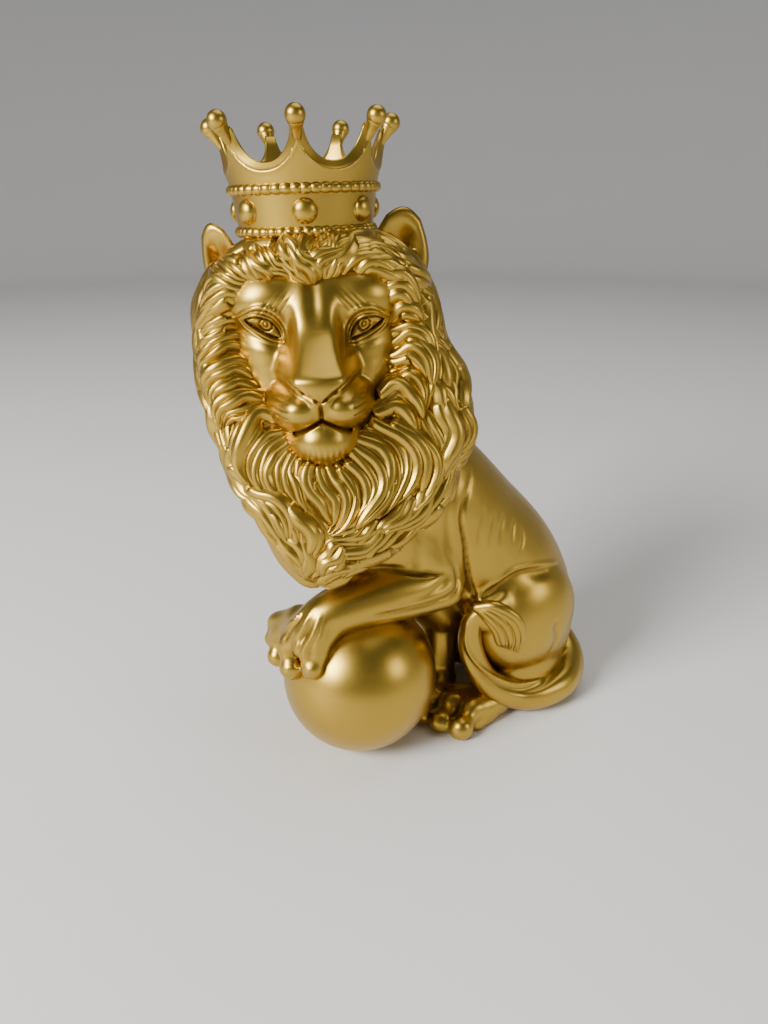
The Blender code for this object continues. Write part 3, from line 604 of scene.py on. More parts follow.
def eye_height(a, b):
    """Carving of an eye: a hollow, two lids, a fold over the upper one, the ball with iris and pupil."""
    along = (a - EYE_ACROSS) * math.cos(EYE_SLANT) + (b - EYE_UP) * math.sin(EYE_SLANT)
    rise = (b - EYE_UP) * math.cos(EYE_SLANT) - (a - EYE_ACROSS) * math.sin(EYE_SLANT)
    rise = rise + 0.03 * along**2 - 0.5
    c = -2.0 * np.exp(-(((along + 3) / 7) ** 2) - (rise / 5) ** 2)
    c -= 1.3 * np.exp(-(((along + 6.5) / 3.2) ** 2) - (rise / 3.4) ** 2)
    half_open = EYE_OPENING * np.maximum(1 - (along / EYE_LENGTH) ** 2, 0) ** 0.75
    inside = np.clip((half_open - np.abs(rise)) / EYE_OPENING, 0, 1)
    lid = np.abs(rise) - half_open + np.maximum(np.abs(along) - EYE_LENGTH, 0)
    upper = 1 / (1 + np.exp(-rise * 2))
    c += groove(lid - 0.75, 0.65, 0.8 + 0.6 * upper) - groove(lid, 0.34, 0.9)
    c += groove(lid - 1.9, 0.55, 0.45) - groove(lid - 1.3, 0.3, 0.45)
    c += upper * (groove(lid - 3.4, 1.2, 1.0) - groove(lid - 2.3, 0.4, 0.5))
    c += 1.3 * np.sqrt(inside) - 0.9 * (inside > 0)
    iris = np.hypot(along + 0.2, rise - 0.7)
    seen = np.clip(inside * 10, 0, 1)
    return c + seen * (groove(iris, 1.5, 0.45) - groove(iris - 2.2, 0.32, 0.7) - groove(iris - 0.8, 0.3, 0.6))


def face_form(a, b):
    """How far the uncarved face stands out: its sections, with the mounds blended in by log of sums."""
    a = np.abs(a)
    sections = np.array(FACE_SECTIONS, float)[::-1]
    up, columns = sections[:, 0], sections[:, 1:]
    slopes = np.gradient(columns, up, axis=0)
    middle, bridge, slope, cheek, half = eased(up, columns, slopes, np.clip(b, up[0], up[-1]))
    fall = np.clip((a - bridge) / slope, 0, 1)
    fall = fall * fall * (3 - 2 * fall)
    side = cheek - CHEEK_FALL * np.clip(2 * a / half - 1, 0, 2) ** 2.2
    heights = [(middle - 1.3 * (a / 7) ** 2) * (1 - fall) + side * fall]
    for a0, b0, out, ra, rb, rim in FACE_MOUNDS:
        heights.append(out - rim * (((a - a0) / ra) ** 2 + ((b - b0) / rb) ** 2) ** 1.25)
    return MOUND_BLEND * np.log(sum(np.exp(height / MOUND_BLEND) for height in heights))


def soften(height, reach):
    """Height over the grid, each value the mean of those near it by a bell curve, rows then columns."""
    weights = bell(np.arange(-BELL_SPAN, BELL_SPAN + 1), reach)
    for _ in range(2):
        padded = np.pad(height, ((BELL_SPAN, BELL_SPAN), (0, 0)), "edge")
        height = sum(weight * padded[k : k + len(height)] for k, weight in enumerate(weights / weights.sum())).T
    return height


def face_carving(a, b):
    """Lines and hollows cut into the face: brow valley, eyes, mouth, nostrils, whisker slits, chin hair."""
    side_of = np.sign(a)
    a = np.abs(a)
    c = eye_height(a, b + EYE_LEVEL * a * side_of) - groove(a, 2.4, 0.9) * np.clip((b + 2) / 8, 0, 1)
    mouth = np.abs(b - MOUTH_UP + 0.5 * np.minimum(a, 9)) + np.maximum(a - MOUTH_HALF_WIDTH, 0)
    c -= groove(mouth, 0.7, 2.6)
    c -= groove(a, 0.6, 1.8) * bell(b + 26.5, 3.4)
    nostril = np.hypot(a - NOSTRIL_ACROSS, (b - NOSTRIL_UP - 0.6 * (a - 5.0)) * 2.0)
    wing = np.abs(b + 22.6 - 0.72 * (a - 1.2)) + np.maximum(a - 9.6, 0) * 1.5 + np.maximum(1.0 - a, 0)
    c -= groove(nostril, 2.0, 2.0) + groove(wing, 0.6, 1.3)
    for k in range(3):
        slit = np.hypot(np.maximum(np.abs(a - 12.8) - 1.6, 0), (b + 22.4 + 2.6 * k - 0.25 * (a - 13)) * 1.6)
        c -= groove(slit, 0.5, 0.7)
    for k in range(4):
        crease = b - 7.2 + 1.1 * (a - 9 - 2.2 * k)
        c -= groove(crease, 0.7, 0.3) * np.exp(-(((a - 9.6 - 1.8 * k) / 3.2) ** 2) - ((b - 5.5) / 4) ** 2)
    hair = np.sin((a * side_of) * 3.1 + 0.5 * np.sin(b * 1.3))
    return c + 0.28 * hair * bell(b + 43.5, 3.0) * np.exp(-((a / 10) ** 4))


def face_shape():
    """The front over a grid, its rim carried straight back to a flat that lies inside the head."""
    a, b = np.meshgrid(
        np.arange(-FACE_HALF_WIDTH, FACE_HALF_WIDTH + FACE_STEP / 2, FACE_STEP),
        np.arange(FACE_FOOT, FACE_TOP + FACE_STEP / 2, FACE_STEP),
    )
    rows, columns = a.shape
    height = soften(face_form(a, b), FACE_SOFTNESS / FACE_STEP) + face_carving(a, b)
    front = from_head(a, b, np.maximum(height, FACE_BACK + 2)).reshape(-1, 3)
    index = np.arange(rows * columns).reshape(rows, columns)
    quads = grid_quads(rows, columns, 0, 0)
    rim = np.concatenate([index[0, :-1], index[:-1, -1], index[-1, :0:-1], index[:0:-1, 0]])
    back = from_head(a.ravel()[rim], b.ravel()[rim], FACE_BACK)
    count = len(rim)
    behind = rows * columns + np.arange(count)
    after = np.roll(behind, -1)
    walls = np.stack([np.roll(rim, -1), rim, behind, after], -1)
    fan = np.stack([after, behind, np.full(count, rows * columns + count)], -1)
    return np.vstack([front, back, back.mean(axis=0)]), np.vstack([quads, walls]), fan


face = make_mesh("face", [face_shape()])
finish_piece(face)


# Ears: two round cups, cast with the head, that stand out of the mane beside the crown. Each is an
# oval dished at the front.

# Middle across and up the face, lean in degrees, half width, half height, how far the front turns aside
EARS = ((-31.0, 21.8, -14, 7.0, 13.2, -0.45), (31.8, 23.6, 9, 10.4, 13.6, 0.2))
EAR_OUT, EAR_DISH, EAR_BACK = 4.8, 8.0, 27


def ear(middle, height, lean, half_width, half_height, aside):
    """Rings from the back to the middle of the dish: an ellipsoid whose front sinks by a bell curve."""
    lean = math.radians(lean)
    turn = turns(96)
    level = np.linspace(0.04, math.pi - 0.04, 80)[:, None]
    square = np.maximum(np.abs(np.cos(turn)), np.abs(np.sin(turn))) ** -0.18
    across = half_width * np.sin(level) * np.cos(turn) * square
    up = half_height * np.sin(level) * np.sin(turn) * square
    across = across * (1 - 0.3 * np.sin(level) * np.sin(turn))
    front = level > math.pi / 2
    dish = groove(np.sin(level), 0.66, EAR_DISH) * front
    fold = groove(np.sin(level) - 0.45, 0.08, 0.5) * front * np.cos(turn * 9 + 1) * (np.sin(turn) < 0)
    a = middle + across * math.cos(lean) + up * math.sin(lean)
    b = height + up * math.cos(lean) - across * math.sin(lean)
    out = -EAR_BACK - EAR_OUT * np.cos(level) - dish + fold - aside * across
    return skins(from_head(a, b, out)[None])


ears = make_mesh("ears", [ear(*spec) for spec in EARS], recalculate=True)
finish_piece(ears)


# Mane: a full ruff from the face's edge over its widest outline to the nape, then locks laid on it in
# overlapping layers. Each lock is a bundle of tapering strands that follow one curve and run together
# at its tip. Resin, cast with the head.

# Outlines of the face and of the ruff: angle from the top in degrees, distance from the middle, how far out
FACE_EDGE = (
    (0, 23, -5), (18, 27.2, -6.5), (46, 29.6, -10.5), (61, 27.8, -13), (77, 25.6, -15), (104, 24.2, -12),
    (129, 23.2, -7), (152, 27, -2), (167, 32, 2), (180, 34, 3), (193, 32, 2), (208, 27, -2), (231, 23, -7),
    (256, 23.4, -12), (283, 25.2, -15), (300, 28, -13), (314, 29.6, -10.5), (342, 27.2, -6.5),
)
MANE_EDGE = (
    (0, 37.6, -14.5), (30, 41.5, -18), (50, 43.5, -21), (70, 41.8, -21), (88, 43.3, -19), (106, 50.8, -17),
    (123, 61, -14), (134, 64, -11), (147, 69, -6), (160, 71, -2), (172, 72, 1), (184, 78, 2), (193, 69, 1),
    (203, 59, -1), (219, 48, -6), (249, 40, -14), (272, 38.8, -19), (307, 42, -21), (332, 39.5, -17),
)
NAPE = (9, -34, -66)  # where the ruff closes at the back of the neck
RUFF_SWELL = 4.0
MANE_MIDDLE = -10.0  # height on the face that the outlines turn about
BEARD_TIP = from_head(-8.0, -102.0, 4.0)  # where the locks under the chin run together
STRAND_SIDES, STRAND_STEPS = 12, 20
LAST_SHARE = 1.97  # locks stop short of the nape
LOCK_REACH = 5  # how far from a drawn lock the undercoat still follows it
RUFF_COLUMNS = 120
# Locks of the front, by where they grow. First for the group: half width of a lock, strands, radius of
# a strand, how far out its root and tip stand. Then for each lock its places: angle from the top and
# hundredths of the way from the face's edge to the widest outline
LOCKS = {
    "forelock": (
        (4.2, 3, 1.8, 0.4, 1.2),
        (1, 5, 358, 24, 352, 40, 343, 86), (359, 9, 352, 22, 345, 32, 337, 80), (349, 9, 342, 21, 338, 34, 334, 85),
        (335, 10, 333, 26, 330, 46, 329, 85), (326, 10, 323, 30, 320, 70, 319, 88),
        (319, 14, 316, 35, 313, 89, 314, 89), (2, 5, 5, 23, 12, 33, 19, 40), (358, 20, 358, 40, 0, 62, 5, 88),
        (3, 22, 6, 42, 12, 62, 20, 85), (353, 35, 351, 55, 350, 75, 350, 97), (10, 42, 12, 62, 14, 82, 16, 100),
        (10, 28, 17, 46, 26, 60, 36, 74), (8, 5, 13, 19, 18, 28, 24, 41), (19, 0, 27, 29, 38, 45, 48, 45),
        (28, 0, 33, 27, 45, 38, 56, 47), (36, 0, 42, 28, 53, 40, 66, 48),
    ),
    "right_ring": (
        (5, 3, 2.1, 0.4, 3),
        (48, 2, 50, 30, 60, 44, 70, 48), (57, 0, 57, 24, 65, 38, 75, 40), (67, 0, 63, 22, 70, 42, 79, 52),
        (75, 0, 77, 29, 86, 51, 96, 53), (87, 4, 81, 28, 90, 47, 101, 48), (97, 2, 90, 25, 99, 39, 111, 39),
        (108, 4, 99, 23, 107, 36, 118, 34), (116, 5, 107, 20, 114, 31, 123, 32), (129, 3, 117, 12, 118, 26, 126, 32),
    ),
    "right_rim": (
        (5, 3, 2.2, -0.6, 0.8),
        (48, 54, 56, 74, 64, 89, 72, 72), (60, 65, 68, 75, 75, 68, 82, 59), (70, 58, 79, 68, 88, 92, 96, 81),
        (80, 57, 89, 72, 97, 76, 105, 63), (90, 57, 99, 62, 106, 61, 113, 64), (103, 45, 109, 52, 115, 57, 118, 72),
        (113, 39, 118, 47, 121, 58, 126, 68),
    ),
    "left_ring": (
        (4.8, 3, 2, 0.4, 2.6),
        (315, 13, 314, 39, 306, 61, 297, 63), (310, 7, 309, 34, 299, 50, 289, 61),
        (303, 1, 301, 32, 291, 53, 280, 73), (295, 0, 294, 31, 284, 58, 273, 86), (284, 0, 285, 30, 276, 57, 266, 90),
        (273, 4, 278, 32, 270, 59, 260, 91), (262, 4, 270, 28, 265, 56, 256, 91), (250, 5, 262, 25, 260, 54, 251, 74),
        (241, 6, 253, 25, 252, 52, 243, 65), (231, 5, 242, 25, 243, 52, 235, 65),
    ),
    "left_rim": (
        (4.8, 3, 2.1, -0.6, 0.8),
        (304, 68, 296, 77, 288, 86, 280, 88), (287, 74, 277, 90, 267, 90, 257, 91),
        (270, 78, 261, 91, 251, 92, 242, 68),
    ),
    "jaw_left": (
        (5, 3, 2.1, 0.2, 2.6),
        (222, 0, 234, 15, 239, 44, 233, 67), (214, 0, 227, 16, 226, 43, 219, 62, 210, 61),
        (206, 0, 217, 18, 217, 42, 211, 53, 202, 45), (202, 0, 211, 22, 210, 41, 203, 43, 194, 33),
        (199, 5, 204, 25, 199, 32, 192, 30), (194, 3, 197, 18, 192, 23, 188, 29),
    ),
    "chin": (
        (4.2, 2, 2.1, 0.4, 2.4),
        (190, 3, 191, 16, 186, 22, 182, 31), (185, 3, 186, 14, 181, 23, 178, 37),
        (180, 3, 179, 13, 175, 24, 176, 35, 181, 40), (176, 4, 172, 16, 171, 28, 174, 38, 180, 41),
        (170, 6, 167, 19, 168, 32, 173, 41, 180, 43), (166, 5, 162, 20, 164, 33, 170, 43, 177, 46),
    ),
    "jaw_right": (
        (5.2, 3, 2.2, 0.2, 2.6),
        (162, 1, 156, 17, 158, 30, 165, 38, 172, 46), (159, 0, 150, 16, 153, 29, 160, 37, 168, 45),
        (152, 3, 144, 19, 147, 33, 155, 41, 164, 46), (144, 4, 138, 22, 141, 38, 150, 46, 161, 48),
        (133, 16, 132, 34, 136, 51, 144, 58, 153, 58), (141, 4, 128, 13, 130, 26, 135, 38),
    ),
    "right_low": (
        (5.2, 3, 2.2, 0, 2),
        (120, 34, 127, 47, 135, 59, 143, 63), (113, 51, 122, 59, 132, 60, 140, 67),
        (115, 67, 120, 72, 126, 69, 132, 66), (142, 61, 148, 65, 156, 65, 163, 61),
        (149, 56, 155, 57, 161, 57, 167, 57),
    ),
    "left_low": (
        (5, 3, 2.1, 0, 2),
        (228, 69, 221, 93, 213, 84, 205, 57), (216, 93, 209, 83, 201, 73, 196, 81),
        (210, 71, 202, 53, 195, 49, 192, 61), (203, 52, 195, 42, 190, 45, 189, 61),
        (195, 36, 189, 36, 186, 45, 188, 65), (189, 30, 184, 36, 185, 50, 186, 69),
        (196, 69, 192, 67, 189, 70, 186, 77),
    ),
    "sweep": (
        (4.8, 3, 2, 0.4, 2.4),
        (166, 44, 172, 49, 179, 45, 185, 49), (163, 51, 169, 59, 177, 52, 184, 54),
        (164, 61, 171, 64, 178, 58, 183, 63), (176, 56, 179, 57, 182, 61, 183, 75),
        (184, 48, 187, 59, 187, 71, 185, 79),
    ),
}
# Undercoat in the gaps and the plainer rows behind: share they start at, how many, length, half
# width, strands, radius, curl, how far out root and tip stand
COAT_ROWS = (
    (0.06, 20, 24, 5.0, 3, 2.0, 0.3, -1.6, -0.4),
    (0.40, 22, 27, 5.4, 3, 2.2, 0.4, -1.8, -0.2),
    (0.72, 24, 28, 5.6, 3, 2.3, 0.5, -1.4, 0.6),
    (1.00, 26, 30, 6.0, 3, 2.5, 0.5, -0.9, 1.0),
    (1.16, 28, 31, 6.4, 3, 2.7, 0.45, -0.8, 1.2),
    (1.33, 26, 31, 6.8, 3, 2.9, 0.4, -0.4, 1.8),
    (1.50, 24, 30, 7.2, 3, 3.1, 0.35, -0.2, 2.2),
    (1.68, 19, 28, 7.4, 3, 3.2, 0.3, -0.2, 2.0),
    (1.85, 11, 26, 7.6, 3, 3.3, 0.3, -0.2, 1.6),
)


def outline(edge, turn):
    """Distance and depth of an outline at angles in degrees, along a smooth closed curve."""
    knots = np.array(edge, float)
    around = np.concatenate([knots[:, 0] - 360, knots[:, 0], knots[:, 0] + 360])
    values = np.vstack([knots[:, 1:]] * 3)
    slope = (values[2:] - values[:-2]) / (around[2:] - around[:-2])[:, None]
    return eased(around, values, np.pad(slope, ((1, 1), (0, 0))), np.mod(turn, 360))


def mane_point(turn, share):
    """A point of the ruff: share 0 is the face's edge, 1 the widest outline and 2 the nape.

    In front the ruff opens as a sine of the share. Behind it closes as cos^fullness, fullness from
    0.35 above to 0.65 at the sides and below, and its middle drifts to the nape as (1 - cos)^2.
    """
    turn, share = np.broadcast_arrays(np.asarray(turn, float), np.asarray(share, float))
    (face_r, face_c), (mane_r, mane_c) = (outline(edge, turn) for edge in (FACE_EDGE, MANE_EDGE))
    front = np.clip(share, 0, 1) * math.pi / 2
    back = np.clip(share - 1, 0, 1) * math.pi / 2
    fullness = 0.65 - 0.3 * np.maximum(np.cos(np.radians(turn)), 0)
    r = np.where(share < 1, face_r + (mane_r - face_r) * np.sin(front), mane_r * np.cos(back) ** fullness)
    opening = mane_c + (face_c - mane_c) * np.cos(front) + RUFF_SWELL * np.sin(2 * front)
    c = np.where(share < 1, opening, mane_c + (NAPE[2] - mane_c) * np.sin(back))
    angle, drift = np.radians(turn), (1 - np.cos(back)) ** 2
    across = r * np.sin(angle) + NAPE[0] * drift
    return from_head(across, MANE_MIDDLE + r * np.cos(angle) + (NAPE[1] - MANE_MIDDLE) * drift, c)


def mane_frame(turn, share):
    """Point of the ruff, its two directions by a degree and by share, and the way out of it."""
    by_turn = (mane_point(turn + 1, share) - mane_point(turn - 1, share)) / 2
    by_share = (mane_point(turn, share + 0.01) - mane_point(turn, share - 0.01)) / 0.02
    return mane_point(turn, share), by_turn, by_share, unit_rows(np.cross(by_turn, by_share))


def drawn_lock(places):
    """Points and outward directions along one drawn lock, evenly spaced by angle and share."""
    places = np.array(places, float).reshape(-1, 2) / (1, 100)
    places[:, 0] = np.degrees(np.unwrap(np.radians(places[:, 0])))
    curve = smooth_path(places, 12)
    at = np.linspace(0, len(curve) - 1, STRAND_STEPS + 1)
    turn, share = (np.interp(at, np.arange(len(curve)), column) for column in curve.T)
    here, _, _, out = mane_frame(turn, share)
    return here, out


def combed(here, normal, turn, share, stride, curl):
    """Way the hair runs at points: with the drawn locks near them, else out, down and to the beard's tip."""
    angle = np.radians(turn)
    behind = np.clip(share - 0.9, 0, 1)
    way = (np.sin(angle) * (1 - behind))[:, None] * ACROSS
    way += (np.cos(angle) * (1 - behind) - 2 * behind)[:, None] * UP
    pull = np.clip((1 - np.cos(angle)) * 0.9 + 0.3 * share + 0.5 * stride - 0.35, 0, 3)
    way += pull[:, None] * unit_rows(BEARD_TIP - here)
    away = np.linalg.norm(here[:, None] - drawn_at, axis=-1)
    way = 0.15 * unit_rows(way) + bell(away, LOCK_REACH) @ drawn_way
    way = unit_rows(way - normal * np.sum(way * normal, axis=1)[:, None])
    wave = curl * np.sin(turn * 0.11 + 5.2 * stride + 9 * share)
    return unit_rows(way + np.cross(normal, way) * wave[:, None])


def combed_locks(start, share, length, curl):
    """Paths that follow the hair's way step by step, by angle and share, and the ways out of the ruff."""
    turn, share = np.array(start, float), np.full(len(start), share, float)
    path, normals = [], []
    for k in range(STRAND_STEPS + 1):
        here, by_turn, by_share, normal = mane_frame(turn, share)
        path.append(here)
        normals.append(normal)
        way = combed(here, normal, turn, share, k / STRAND_STEPS, curl) * length / STRAND_STEPS
        tt, ts, ss = (np.sum(u * v, 1) for u, v in ((by_turn, by_turn), (by_turn, by_share), (by_share, by_share)))
        wt, ws = np.sum(way * by_turn, 1), np.sum(way * by_share, 1)
        spread = tt * ss - ts**2 + 1e-6
        turn = turn + (wt * ss - ws * ts) / spread
        share = np.clip(share + (ws * tt - wt * ts) / spread, 0, LAST_SHARE)
    return np.array(path).transpose(1, 0, 2), np.array(normals).transpose(1, 0, 2)


def strands(path, out, half_width, count, radius, root_rise, tip_rise, twist, chance):
    """Rings of one lock's strands: side by side at its root, turned about its curve, together at its tip.

    A strand's place aside is its share of the half width, which closes as (1 - t^2.4)^0.7, and sways
    by a sine of its own phase; its radius swells to the middle and closes to the tip; its section is
    a round one drawn to a crest, |cos|^1.3 by |sin|^1.3. Chance holds a size, a phase and an end each.
    """
    own_size, phase, end = chance[:, :, None]
    t = np.linspace(0, 1, len(path))
    along = unit_rows(np.gradient(path, axis=0))
    aside = unit_rows(np.cross(along, out))
    out = np.cross(aside, along)
    opening = 0.72 + 0.28 * np.sin(np.clip(t / 0.4, 0, 1) * math.pi / 2)
    gather = opening * np.maximum(1 - t**2.4, 0) ** 0.7
    full = (0.1 + opening) * np.maximum(1 - (t / end) ** 3.2, 0) ** 0.6
    share = np.linspace(-1, 1, count)[:, None]
    angle = twist * (t - 0.4)
    sway = 0.45 * radius * np.sin(7.5 * t + phase) * gather
    lateral = (half_width - radius) * gather * share * np.cos(angle) + sway
    height = root_rise + (tip_rise - root_rise) * t**1.4 + half_width * gather * share * np.sin(angle) * 0.7
    height = height + radius * gather * (0.5 * (1 - share**2) + 0.4 * np.sin(phase * 3))
    middle = path + lateral[..., None] * aside + height[..., None] * out
    size = np.maximum(radius * full * own_size, 0.1 * radius)
    turn = (np.arange(STRAND_SIDES) / STRAND_SIDES + 0.25) * 2 * math.pi
    wide = 1.25 * np.sign(np.cos(turn)) * np.abs(np.cos(turn)) ** 1.3
    tall = -np.sign(np.sin(turn)) * np.abs(np.sin(turn)) ** 1.3 * np.where(np.sin(turn) < 0, 1.35, 0.9)
    ring = wide[:, None] * aside[:, None] + tall[:, None] * out[:, None]
    return middle[:, :, None] + size[..., None, None] * ring


ruff_turn = np.arange(RUFF_COLUMNS) * 360 / RUFF_COLUMNS
ruff_share = np.concatenate([np.linspace(0, 1, 28), np.linspace(1.03, 1.99, 34)])
mane = make_mesh("mane", [skins(mane_point(ruff_turn[None], ruff_share[:, None])[None])], recalculate=True)
finish_piece(mane)


def lay_locks(name, paths, outs, build, half_width, count, radius, root_rise, tip_rise):
    """A piece of locks, each with its size, lift of its tip and twist, and seeded chances for its strands.

    Each point's place round its strand is kept for the engraved hairs, with the seam underneath.
    """
    chances = dice.uniform((0.72, 0.0, 0.82), (1.3, 2.6, 1.0), (len(build), count, 3)).transpose(0, 2, 1)
    rings = [
        strands(path, out, half_width * size, count, radius * size, root_rise, tip_rise + lift, twist, chance)
        for path, out, (size, lift, twist), chance in zip(paths, outs, build, chances)
    ]
    locks = make_mesh(name, [skins(np.concatenate(rings))])
    marks = np.append(np.tile(np.arange(STRAND_SIDES) / STRAND_SIDES, STRAND_STEPS + 1), (0.5, 0.5))
    mark = locks.data.attributes.new("across", "FLOAT", "POINT")
    mark.data.foreach_set("value", np.tile(marks, len(locks.data.vertices) // len(marks)))
    finish_piece(locks, 1, 1.5)


dice = np.random.default_rng(7)
drawn = {name: [drawn_lock(row) for row in rows] for name, (_, *rows) in LOCKS.items()}
drawn_at = np.vstack([path[::3] for rows in drawn.values() for path, _ in rows])
drawn_way = np.vstack([unit_rows(np.gradient(path, axis=0))[::3] for rows in drawn.values() for path, _ in rows])
for name, rows in drawn.items():
    build = dice.uniform((0.82, -1.2, -0.9), (1.15, 1.2, 0.9), (len(rows), 3))
    lay_locks("locks_" + name, *zip(*rows), build, *LOCKS[name][0])
for row, (share, number, length, half_width, count, radius, curl, *rises) in enumerate(COAT_ROWS):
    start = (np.arange(number) + 0.5 * (row % 2) + dice.uniform(-0.2, 0.2, number)) * 360 / number
    build = np.insert(dice.uniform((0.85, -0.9), (1.15, 0.9), (number, 2)), 1, 0, axis=1)
    combed_paths = combed_locks(start, share, length, curl)
    lay_locks(f"locks_row_{row + 1}", *combed_paths, build, half_width, count, radius, *rises)


# Crown: an open band with seven points that each carry a ball, two rings of beads and a stud below
# each point. Cast with the head, which it leans with.

FIGURE_HEIGHT = 200.6  # floor to the crown's lower edge
CROWN_HEIGHT = 38.3  # lower edge to the top of a point's ball
FOOT_RADIUS, BAND_RADIUS, TIP_RADIUS = 23.0, 25.0, 31.8
CROWN_WALL = 3.2
BAND_HEIGHT = 14.9  # lower edge to the middle of the upper beads
SCALLOP = 8.0  # middle of the upper beads to the lowest point between two points
CUP_FLOOR, CROWN_SINK = 5.0, 15.0
BEAD_RADIUS, POINT_BALL_RADIUS, POINT_NECK = 1.75, 3.2, 2.3
# Radius and rise of the neck that carries a point's ball, from inside the point to the ball's middle
NECK_PROFILE = ((0.1, -10), (0.8, -9), (1.4, -7), (1.75, -5), (2.1, -3.4), (2.6, -2.2), (2.9, -1.0), (0.1, 0.0))
STUD_RADIUS, STUD_RISE = 3.9, 2.6
POINTS, BEADS, BEAD_COLUMNS = 7, 47, 16
STUD_TURN, STUD_HEIGHT = math.radians(2.0), 0.56  # turned past the point, share of the band's height
EDGE_WIDTH, EDGE_BEVEL = 3.0, 2.6  # how wide and deep the upper edge is bevelled
EDGE_LINE = (0.35, 0.22)  # half width and depth of the raised line along the bevel
EDGE_COLUMNS, EDGE_ROWS = 40, 56
CROWN_SEAT = (
    Matrix.Translation((-27.1, -5.4, FIGURE_HEIGHT))
    @ Matrix.Rotation(math.radians(-1.8), 4, "Y")
    @ Matrix.Rotation(math.radians(-1.0), 4, "X")
    @ Matrix.Rotation(math.radians(3.2), 4, "Z")
)


def crown_point(angle, radius, height):
    """Points of the crown, the angle counted from its front point."""
    angle, radius, height = np.broadcast_arrays(angle, radius, height)
    local = np.stack([radius * np.sin(angle), -radius * np.cos(angle), height, np.ones_like(angle)], -1)
    return (local @ np.array(CROWN_SEAT).T)[..., :3]


def crown_edge(angle):
    """Height of the upper edge: a bay between each two points, its curve 1 - sqrt(1 - x^2.2)."""
    low, high = BAND_HEIGHT + SCALLOP, CROWN_HEIGHT - 1.5 * POINT_BALL_RADIUS
    half_pitch = math.pi / POINTS
    from_point = np.abs((angle + half_pitch) % (2 * half_pitch) - half_pitch)
    neck = POINT_NECK / TIP_RADIUS
    across = np.clip((from_point - neck) / (half_pitch - neck), 0, 1)
    return low + (high - low) * (1 - np.sqrt(1 - (1 - across) ** 2.2))


def crown_outside(height):
    """Outer radius at a height: straight over the band, flaring as share^1.2 above it."""
    share = (height - BAND_HEIGHT) / (CROWN_HEIGHT - POINT_BALL_RADIUS - BAND_HEIGHT)
    above = BAND_RADIUS + (TIP_RADIUS - BAND_RADIUS) * np.maximum(share, 0) ** 1.2
    return np.where(height < BAND_HEIGHT, FOOT_RADIUS + (BAND_RADIUS - FOOT_RADIUS) * height / BAND_HEIGHT, above)


def crown_shell():
    """Wall from the core inside the head over the outside, the edge and the inside to the cup's floor.

    Within the bevel's width of the upper edge the outside falls back in line with its distance to the
    edge, which is measured over one half of a point's width and mirrored round the crown.
    """
    half = np.linspace(0, math.pi / POINTS, EDGE_COLUMNS + 1)
    curve = np.linspace(0, math.pi / POINTS, 400)
    level = np.linspace(0, 1, EDGE_ROWS)[:, None]
    height = 0.2 + (crown_edge(half) - 0.2) * level
    radius = (BAND_RADIUS + TIP_RADIUS) / 2
    away = np.hypot((half[:, None] - curve) * radius, height[..., None] - crown_edge(curve)).min(axis=-1)
    mirrored = np.tile(np.concatenate([np.arange(EDGE_COLUMNS), np.arange(EDGE_COLUMNS, 0, -1)]), POINTS)
    angle = turns(len(mirrored))
    height, away, edge = height[:, mirrored], away[:, mirrored], crown_edge(half)[mirrored]
    fall = EDGE_BEVEL * np.clip(1 - away / EDGE_WIDTH, 0, 1) - groove(away - EDGE_WIDTH, *EDGE_LINE)
    outer = crown_outside(height) - fall
    rings = [(0.02 + 0 * angle, -CROWN_SINK + 0 * angle), (FOOT_RADIUS - 1 + 0 * angle, 0 * angle)]
    rings += list(zip(outer, height))
    for share in np.linspace(0.02, 1, 9):
        level = edge + (CUP_FLOOR - edge) * share
        rings.append((np.minimum(crown_outside(level) - CROWN_WALL, outer[-1] - 0.35), level))
    rings.append((0.02 + 0 * angle, CUP_FLOOR + 0 * angle))
    return skins(np.array([crown_point(angle, r, z) for r, z in rings])[None])


def turned(middle, axis, profile, sides=36):
    """A small turned piece: a profile of radius and rise, carried round an axis through its middle."""
    axis = axis / np.linalg.norm(axis)
    aside = unit_rows(np.cross((0.3, 0.2, 1.0), axis))
    turn = turns(sides)
    ring = np.cos(turn)[:, None] * aside + np.sin(turn)[:, None] * np.cross(axis, aside)
    radius, rise = np.array(profile, float).T
    return skins((middle + radius[:, None, None] * ring + (rise[:, None] * axis)[:, None])[None])


def bead_roll(middle):
    """The roll that a row of beads is cut into: a round ring, pinched between beads as |sin|^0.7."""
    angle, turn = turns(BEADS * BEAD_COLUMNS), turns(BEAD_COLUMNS)
    pinch = np.abs(np.sin(angle * BEADS / 2 + 0.3 * np.sin(angle * 5))) ** 0.7
    size = BEAD_RADIUS * (0.72 + 0.34 * pinch)
    radius = crown_outside(middle) - 0.25 + size[:, None] * np.cos(turn)
    points = crown_point(angle[:, None], radius, middle + BEAD_RADIUS * (0.8 + 0.25 * pinch[:, None]) * np.sin(turn))
    return points.reshape(-1, 3), grid_quads(*radius.shape, wrap_rows=1)


